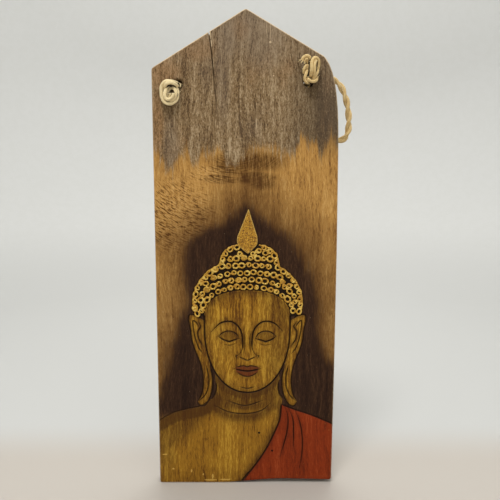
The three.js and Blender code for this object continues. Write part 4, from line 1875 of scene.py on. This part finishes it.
@dataclass
class HangingRope:
    """The rope: knotted in front of each hole, slack behind the board.

    The knots' points are given from their middles: x, height off the board's front, and z.
    """

    diameter: float = 8.5
    strands: int = 2
    yarns: int = 8
    strand_radius: float = 2.65
    strand_offset: float = 2.0
    knot_strand: float = 2.2
    knot_offset: float = 1.95
    yarn_radius: float = 0.85
    hair_root: float = 2.6
    hair_radius: float = 0.14
    frayed_radius: float = 0.26
    lay: float = 36.0
    yarn_lay: float = 70.0
    phase: float = 1.2
    left_sway: float = 9.0
    right_twist: tuple[float, float] = (5 * math.pi, 62.0)
    step: float = 1.3
    seed: int = 5
    route: Line = (
        (-85.2, -22, -3.2), (-85.2, -13, -3), (-84.9, -4, -1.8), (-84.4, 3.6, 0), (-81.6, 9.6, 1),
        (-76, 13.2, -2.8), (-66.5, 13.6, -12), (-51, 11, -25.5), (-29, 8.5, -39.5), (-4, 7.5, -50.5),
        (22, 7.5, -57.5), (50, 8, -61.8), (76, 9, -63.5), (98, 10.5, -64.8), (114, 12.4, -67.4),
        (126, 13.4, -68.6), (133.8, 13.8, -65.2), (137.8, 14, -55.6), (138.6, 14.2, -44.6),
        (138, 14.5, -34.4), (136.6, 14.8, -24), (134.2, 15, -13.6), (130.4, 15.4, -3.2),
        (124.8, 15.6, 5.6), (116.5, 15.6, 11), (106.5, 15.4, 12.6), (96.5, 14.6, 10.4),
        (88.4, 12.2, 6.2), (82.8, 8, 3.2), (80.4, 2.6, 2.3), (80, -4, 2.3), (80.4, -13, 2.7),
        (80.6, -22, 2.8),
    )
    left_middle: tuple[float, float] = (-94.5, -13.1)
    left_knot: Line = (
        (9.3, 0, 9.9), (9.2, 4.6, 10.2), (6.4, 8.4, 11.4), (1.6, 10.8, 12.2), (-3.8, 10.6, 11.4),
        (-7.8, 8.8, 7.2), (-8.9, 7.2, 1.2), (-8.8, 6.6, -5), (-6, 7, -10.4), (-0.2, 7.6, -12.3),
        (5.6, 7.4, -10), (8.7, 7, -4.2), (8.6, 6.8, 1.8), (6, 5.6, 6.2), (2, 3.9, 7.2), (-1.8, 5.6, 5),
        (-3.9, 8.4, 0.4), (-4.8, 9.2, -4.4), (-3.2, 8.8, -7.4), (0.4, 9.8, -6.8), (2.8, 11, -4.2),
        (3, 11.2, -1.6),
    )
    right_middle: tuple[float, float] = (82.0, 13.6)
    right_knot: Line = (
        (-1.4, 0, -10.8), (-1.2, 4, -6), (-2.4, 4.8, 1.2), (-4.8, 5.8, 5.6), (-6.4, 6.6, 0.6),
        (-6.6, 7.2, -6), (-4.9, 8.2, -12), (-0.4, 9.2, -14), (4.6, 8.6, -11.8), (7, 7.4, -6), (6.8, 6.6, 0.6),
        (7.8, 7.4, 6.4), (7.2, 9.2, 11.4), (4.6, 11.6, 12.6), (2.4, 13, 8.4), (2.2, 13, 1.6), (2.2, 11.4, -4),
        (1.4, 7.8, -8), (-0.2, 4.8, -7.6), (-1.6, 4.4, -2), (-2.4, 4.8, 4.6), (-2, 6.6, 10.6),
        (-3.2, 8.4, 14.4), (-5.8, 8.8, 15.4), (-8.2, 8.2, 13.6), (-9.4, 7.6, 11.4),
    )

    def build(self) -> None:
        left = smooth_line(self.turns(self.left_middle, self.left_knot), self.step)[::-1]
        middle = smooth_line(self.route, self.step)
        right = smooth_line(self.turns(self.right_middle, self.right_knot), self.step)
        line = np.vstack([left[:-1], middle, right[1:]])
        first, last = len(left) - 1, len(left) + len(middle) - 2
        walked = np.concatenate([[0], np.cumsum(np.linalg.norm(np.diff(line, axis=0), axis=1))])
        twist, over = self.right_twist
        stretches = {
            "rope": (slice(first, last + 1), 2 * math.pi * walked / self.lay + self.phase),
            "knot_left": (slice(0, first + 1), np.sin(walked / self.left_sway)),
            "knot_right": (slice(last, len(line)), twist * np.minimum((walked - walked[last]) / over, 1)),
        }
        finish = FibreFinish().material()
        for node, (span, turns) in stretches.items():
            sides = self.carry(line)[span] if node == "rope" else self.lay_flat(line[span])
            piece = self.lay_up(Stretch(node, line[span], sides, walked[span], turns[span]))
            hand_over(piece, finish, "rope", node)

    def turns(self, middle: tuple[float, float], points: Line) -> list[Point]:
        """Places a knot's points, given from its middle, in the frame."""
        return [(middle[0] + x, FRONT - front, middle[1] + z) for x, front, z in points]

    def lay_flat(self, line: np.ndarray) -> np.ndarray:
        """Gives the direction square to a line and nearest to the board's face, at each point.

        Args:
            line: The points of the line.

        Returns:
            A unit vector at each point.
        """
        along = np.gradient(line, axis=0)
        sides = np.cross(along, (0.0, 1.0, 0.0))
        lengths = np.linalg.norm(sides, axis=1)[:, None]
        flat = sides / np.maximum(lengths, 1e-6)
        for index in range(1, len(flat)):
            if lengths[index, 0] < 0.35 * self.step:
                flat[index] = flat[index - 1]
        flat -= along * (flat * along).sum(1)[:, None] / (along**2).sum(1)[:, None]
        return flat / np.linalg.norm(flat, axis=1)[:, None]

    def carry(self, line: np.ndarray) -> np.ndarray:
        """Carries one side direction along a line without twisting it.

        Args:
            line: The points of the line.

        Returns:
            A unit vector square to the line at each point.
        """
        along = directions(line)
        side = np.cross(along[0], (0.0, 0.0, 1.0))
        sides = [side / np.linalg.norm(side)]
        for tangent in along[1:]:
            side = sides[-1] - tangent * (sides[-1] @ tangent)
            sides.append(side / np.linalg.norm(side))
        return np.asarray(sides)

    def lay_up(self, stretch: Stretch) -> Piece:
        """Lays up yarns into strands and strands into rope along a stretch, with its loose fibres.

        Args:
            stretch: The stretch.

        Returns:
            The piece.
        """
        tracks, labels = self.yarn_tracks(stretch)
        name = f"{stretch.node}_fine"
        piece = tubes(name, tracks, self.yarn_radius)
        self.note_fibres(piece, stretch, labels)
        loose = [self.hairs(stretch)]
        if stretch.node == "knot_right":
            loose.append(self.frayed(stretch))
        piece = join(name, [piece, *loose])
        # The finish paints shade in the knots' gaps from how far each place is sunk.
        write_fields(piece, sunk=self.sunk(corners(piece)) if stretch.knotted() else 0)
        choose(piece)
        bpy.ops.object.shade_smooth_by_angle(angle=math.radians(60))
        return piece

    def yarn_tracks(self, stretch: Stretch) -> tuple[list[np.ndarray], list[int]]:
        """Gives each yarn's centre line along a stretch, and each yarn's number.

        Args:
            stretch: The stretch.

        Returns:
            The centre lines, and the numbers.
        """
        walked = stretch.walked
        reach = (self.knot_strand if stretch.knotted() else self.strand_radius) - self.yarn_radius
        offset = self.knot_offset if stretch.knotted() else self.strand_offset
        tracks, labels = [], []
        for strand in range(self.strands):
            swell = 1 + 0.05 * np.sin(walked / 9 + strand * 2.1)
            turn = stretch.turns + 2 * math.pi * strand / self.strands
            centre = stretch.wind(stretch.line, offset * swell, turn)
            for yarn in range(self.yarns):
                spin = 2 * math.pi * (walked / self.yarn_lay + yarn / self.yarns) + strand
                out = reach * (1 + 0.08 * np.sin(walked / 5.3 + 1.7 * yarn + strand))
                tracks.append(stretch.wind(centre, out, spin))
                labels.append(yarn + 10 * strand)
        if stretch.knotted():
            hole = walked[0] if stretch.node == "knot_right" else walked[-1]
            in_hole = np.abs(walked - hole) < 5
            flat = FRONT - 0.3 - self.yarn_radius
            for track in tracks:
                track[:, 1] = np.where(in_hole, track[:, 1], np.minimum(track[:, 1], flat))
        return tracks, labels

    def sunk(self, places: np.ndarray, cell: float = 0.6, reach: int = 3) -> np.ndarray:
        """Gives how far each place of a knot lies behind what is round it, for the painted shade in its gaps.

        Args:
            places: The knot's corners.
            cell: The width of the squares that its front is divided into.
            reach: How many squares its surroundings reach.

        Returns:
            The depth in millimetres.
        """
        flat = places[:, (0, 2)]
        index = tuple((np.round((flat - flat.min(0)) / cell).astype(int) + reach).T)
        front = np.full([int(part.max()) + reach + 1 for part in index], -np.inf)
        np.maximum.at(front, index, -places[:, 1])
        total, count = np.zeros(front.shape), np.zeros(front.shape)
        for across in range(-reach, reach + 1):
            for up in range(-reach, reach + 1):
                moved = np.roll(front, (across, up), axis=(0, 1))
                known = np.isfinite(moved)
                total += np.where(known, moved, 0)
                count += known
        return (total / np.maximum(count, 1))[index] + places[:, 1]

    def hairs(self, stretch: Stretch) -> Piece:
        """Makes the loose fibres that stand off the rope's surface.

        Args:
            stretch: Where they stand.

        Returns:
            The fibres as one object.
        """
        line, sides, others = stretch.line, stretch.sides, stretch.others()
        chance = np.random.default_rng(self.seed + len(line))
        rise = np.linspace(0, 1, 5)[:, None]
        tracks = []
        for _ in range(len(line) // 3):
            start = int(chance.integers(4, len(line) - 8))
            turn = chance.uniform(0, 2 * math.pi)
            outward = math.cos(turn) * sides[start] + math.sin(turn) * others[start]
            outward[1] = min(outward[1], 0.3)
            forward = (line[start + 3] - line[start]) * chance.choice((-1, 1))
            lift = self.hair_root + chance.uniform(1.2, 3.6) * rise**1.4
            track = line[start] + outward * lift + forward * rise * chance.uniform(0.4, 1.4)
            if line[start, 1] < FRONT:
                self.keep_off(track)
            tracks.append(track)
        return self.plain_fibres("loose_fibres", tracks, self.hair_radius)

    def frayed(self, stretch: Stretch) -> Piece:
        """Makes the fibres that spread from the rope's cut end.

        Args:
            stretch: The one with that end.

        Returns:
            The fibres as one object.
        """
        line, side, other = stretch.line, stretch.sides[-1], stretch.others()[-1]
        chance = np.random.default_rng(self.seed)
        onward = (line[-1] - line[-4]) / np.linalg.norm(line[-1] - line[-4])
        rise = np.linspace(0, 1, 5)[:, None]
        tracks = []
        for _ in range(26):
            across, up = chance.uniform(-1, 1, 2)
            start = line[-2] + 3.2 * across * side + 2.2 * up * other
            spread = across * side + up * other * 0.4
            reach = chance.uniform(2.5, 5.5)
            track = start + reach * rise * (onward + spread * rise * chance.uniform(0.3, 1.0))
            self.keep_off(track)
            tracks.append(track)
        return self.plain_fibres("frayed_end", tracks, self.frayed_radius)

    def keep_off(self, track: np.ndarray) -> None:
        """Moves what of a track would sink into the board's front off it."""
        track[:, 1] = np.minimum(track[:, 1], FRONT - 0.6)

    def plain_fibres(self, name: str, tracks: Sequence[np.ndarray], radius: float) -> Piece:
        """Makes loose fibres and gives them the fields that the finish reads.

        Args:
            name: The object's name.
            tracks: Their centre lines.
            radius: Their radius.

        Returns:
            The fibres as one object.
        """
        fibres = tubes(name, tracks, radius, 0)
        write_fields(fibres, along=0, around=0.5, yarn=3, depth=0.9)
        return fibres

    def note_fibres(self, piece: Piece, stretch: Stretch, labels: Sequence[int]) -> None:
        """Writes where each corner is along and around its yarn, and how far out in the rope.

        Args:
            piece: The yarns as one mesh, in the order of labels.
            stretch: The stretch of the rope that they make.
            labels: Each yarn's number.
        """
        line, places = stretch.line, corners(piece)
        count = len(places) // len(labels)
        order = np.arange(len(places)) % count
        ring = count // len(line)
        index = np.minimum(order // ring, len(line) - 1)
        reach = self.strand_radius + self.strand_offset
        write_fields(
            piece, along=stretch.walked[index], around=(order % ring) / ring,
            yarn=np.repeat(labels, count)[: len(places)],
            # The finish paints shade in the grooves from this depth.
            depth=np.linalg.norm(places - line[index], axis=1) / reach,
        )


@dataclass(frozen=True)
class Lamp:
    """One soft square lamp: its place and width in metres, its power in watts and what it faces."""

    place: Point
    width: float
    power: float
    aim: Point = (0, 0, -0.2)

    def hang(self) -> None:
        """Adds the lamp to the stage."""
        bpy.ops.object.light_add(type="AREA", location=self.place)
        lamp = bpy.context.object
        lamp.data.size = self.width
        lamp.data.energy = self.power
        facing = Vector(self.aim) - Vector(self.place)
        lamp.rotation_euler = facing.to_track_quat("-Z", "Y").to_euler()


@dataclass(frozen=True)
class FloorFinish:
    """The stage's matt paint: pale above, a little darker low down, and warmer round the board."""

    pale: Colour = (202, 202, 199)
    speck: Colour = (206, 206, 204)
    low: Colour = (191, 191, 188)
    warmer: Colour = (184, 177, 168)

    def material(self) -> bpy.types.Material:
        """Mixes the stage's paint.

        Returns:
            The material.
        """
        paint = Paint("pale_floor")
        place, _, y, z = paint.place()
        grain = paint.noise(place, (30, 30, 30), 2)
        level = (z + HANG_HEIGHT).ease(260, -2)
        colour = paint.coats(
            self.pale,
            (grain.ease(0.4, 0.6) * 0.3, self.speck),
            (level, self.low),
            (level * y.ease(170, 30) * y.ease(-1300, -800), self.warmer),
        )
        return paint.finish(colour, 0.9, grain, 0.0001)


@dataclass
class Studio:
    """The pale stage, its soft lamps and the camera at the photograph's angle. Lengths in metres."""

    eye: Point = (0.00615, -0.7193, -0.1325)
    pitch: float = 83.434
    lens: float = 38.593
    bowl_radius: float = 2.4
    bowl_height: float = 3.2
    bowl_round: float = 1.1
    sky: Colour = (202, 202, 199)
    sky_power: float = 1.3
    lamps: tuple[Lamp, ...] = (
        Lamp((-0.25, -1.0, 1.65), 0.6, 27),
        Lamp((0.75, -1.25, 0.45), 0.9, 3.1),
        Lamp((0.2, 1.4, 1.3), 1.4, 10),
        Lamp((0.0, 0.9, 2.2), 1.2, 21, (0, 2.4, 0.2)),
    )

    def camera(self) -> None:
        """Sets up the camera."""
        bpy.ops.object.camera_add(location=self.eye, rotation=(math.radians(self.pitch), 0, 0))
        camera = bpy.context.object
        camera.data.lens = self.lens
        camera.data.sensor_width = 36
        camera.data.clip_start = 0.01
        bpy.context.scene.camera = camera

    def bowl(self) -> None:
        """Makes the floor, which rises on all sides into a backdrop without a seam."""
        low = (Plank.lower_end - HANG_HEIGHT) * MM - 0.0002
        bpy.ops.mesh.primitive_cylinder_add(
            vertices=96, radius=self.bowl_radius, depth=self.bowl_height,
            location=(0, 0, low + self.bowl_height / 2),
        )
        floor = join("floor", [bpy.context.object])
        with editing(floor):
            pick(floor, "faces", lambda face: face.normal.z > 0.9)
            bpy.ops.mesh.delete(type="FACE")
            pick(floor, "edges", lambda edge: all(corner.co.z < low + 0.01 for corner in edge.verts))
            bpy.ops.mesh.bevel(offset=self.bowl_round, segments=16, affect="EDGES")
            bpy.ops.mesh.select_all(action="SELECT")
            bpy.ops.mesh.flip_normals()
        bpy.ops.object.shade_smooth()
        floor.data.materials.append(FloorFinish().material())

    def build(self) -> None:
        """Makes the floor, the lamps and the sky."""
        self.bowl()
        for lamp in self.lamps:
            lamp.hang()
        world = bpy.data.worlds.new("studio")
        world.use_nodes = True
        sky = world.node_tree.nodes["Background"].inputs
        sky[0].default_value = srgb(self.sky)
        sky[1].default_value = self.sky_power
        bpy.context.scene.world = world
        bpy.context.scene.view_settings.view_transform = "Standard"


def main() -> None:
    """Builds the studio and every piece of the hanging."""
    logging.basicConfig(level=logging.INFO, format="%(name)s: %(message)s")
    studio = Studio()
    studio.camera()
    HangingRope().build()
    drawing = Drawing()
    Plank(drawing).build()
    Curls(drawing).build()
    Flame(drawing).build()
    studio.build()


if __name__ == "__main__":
    main()
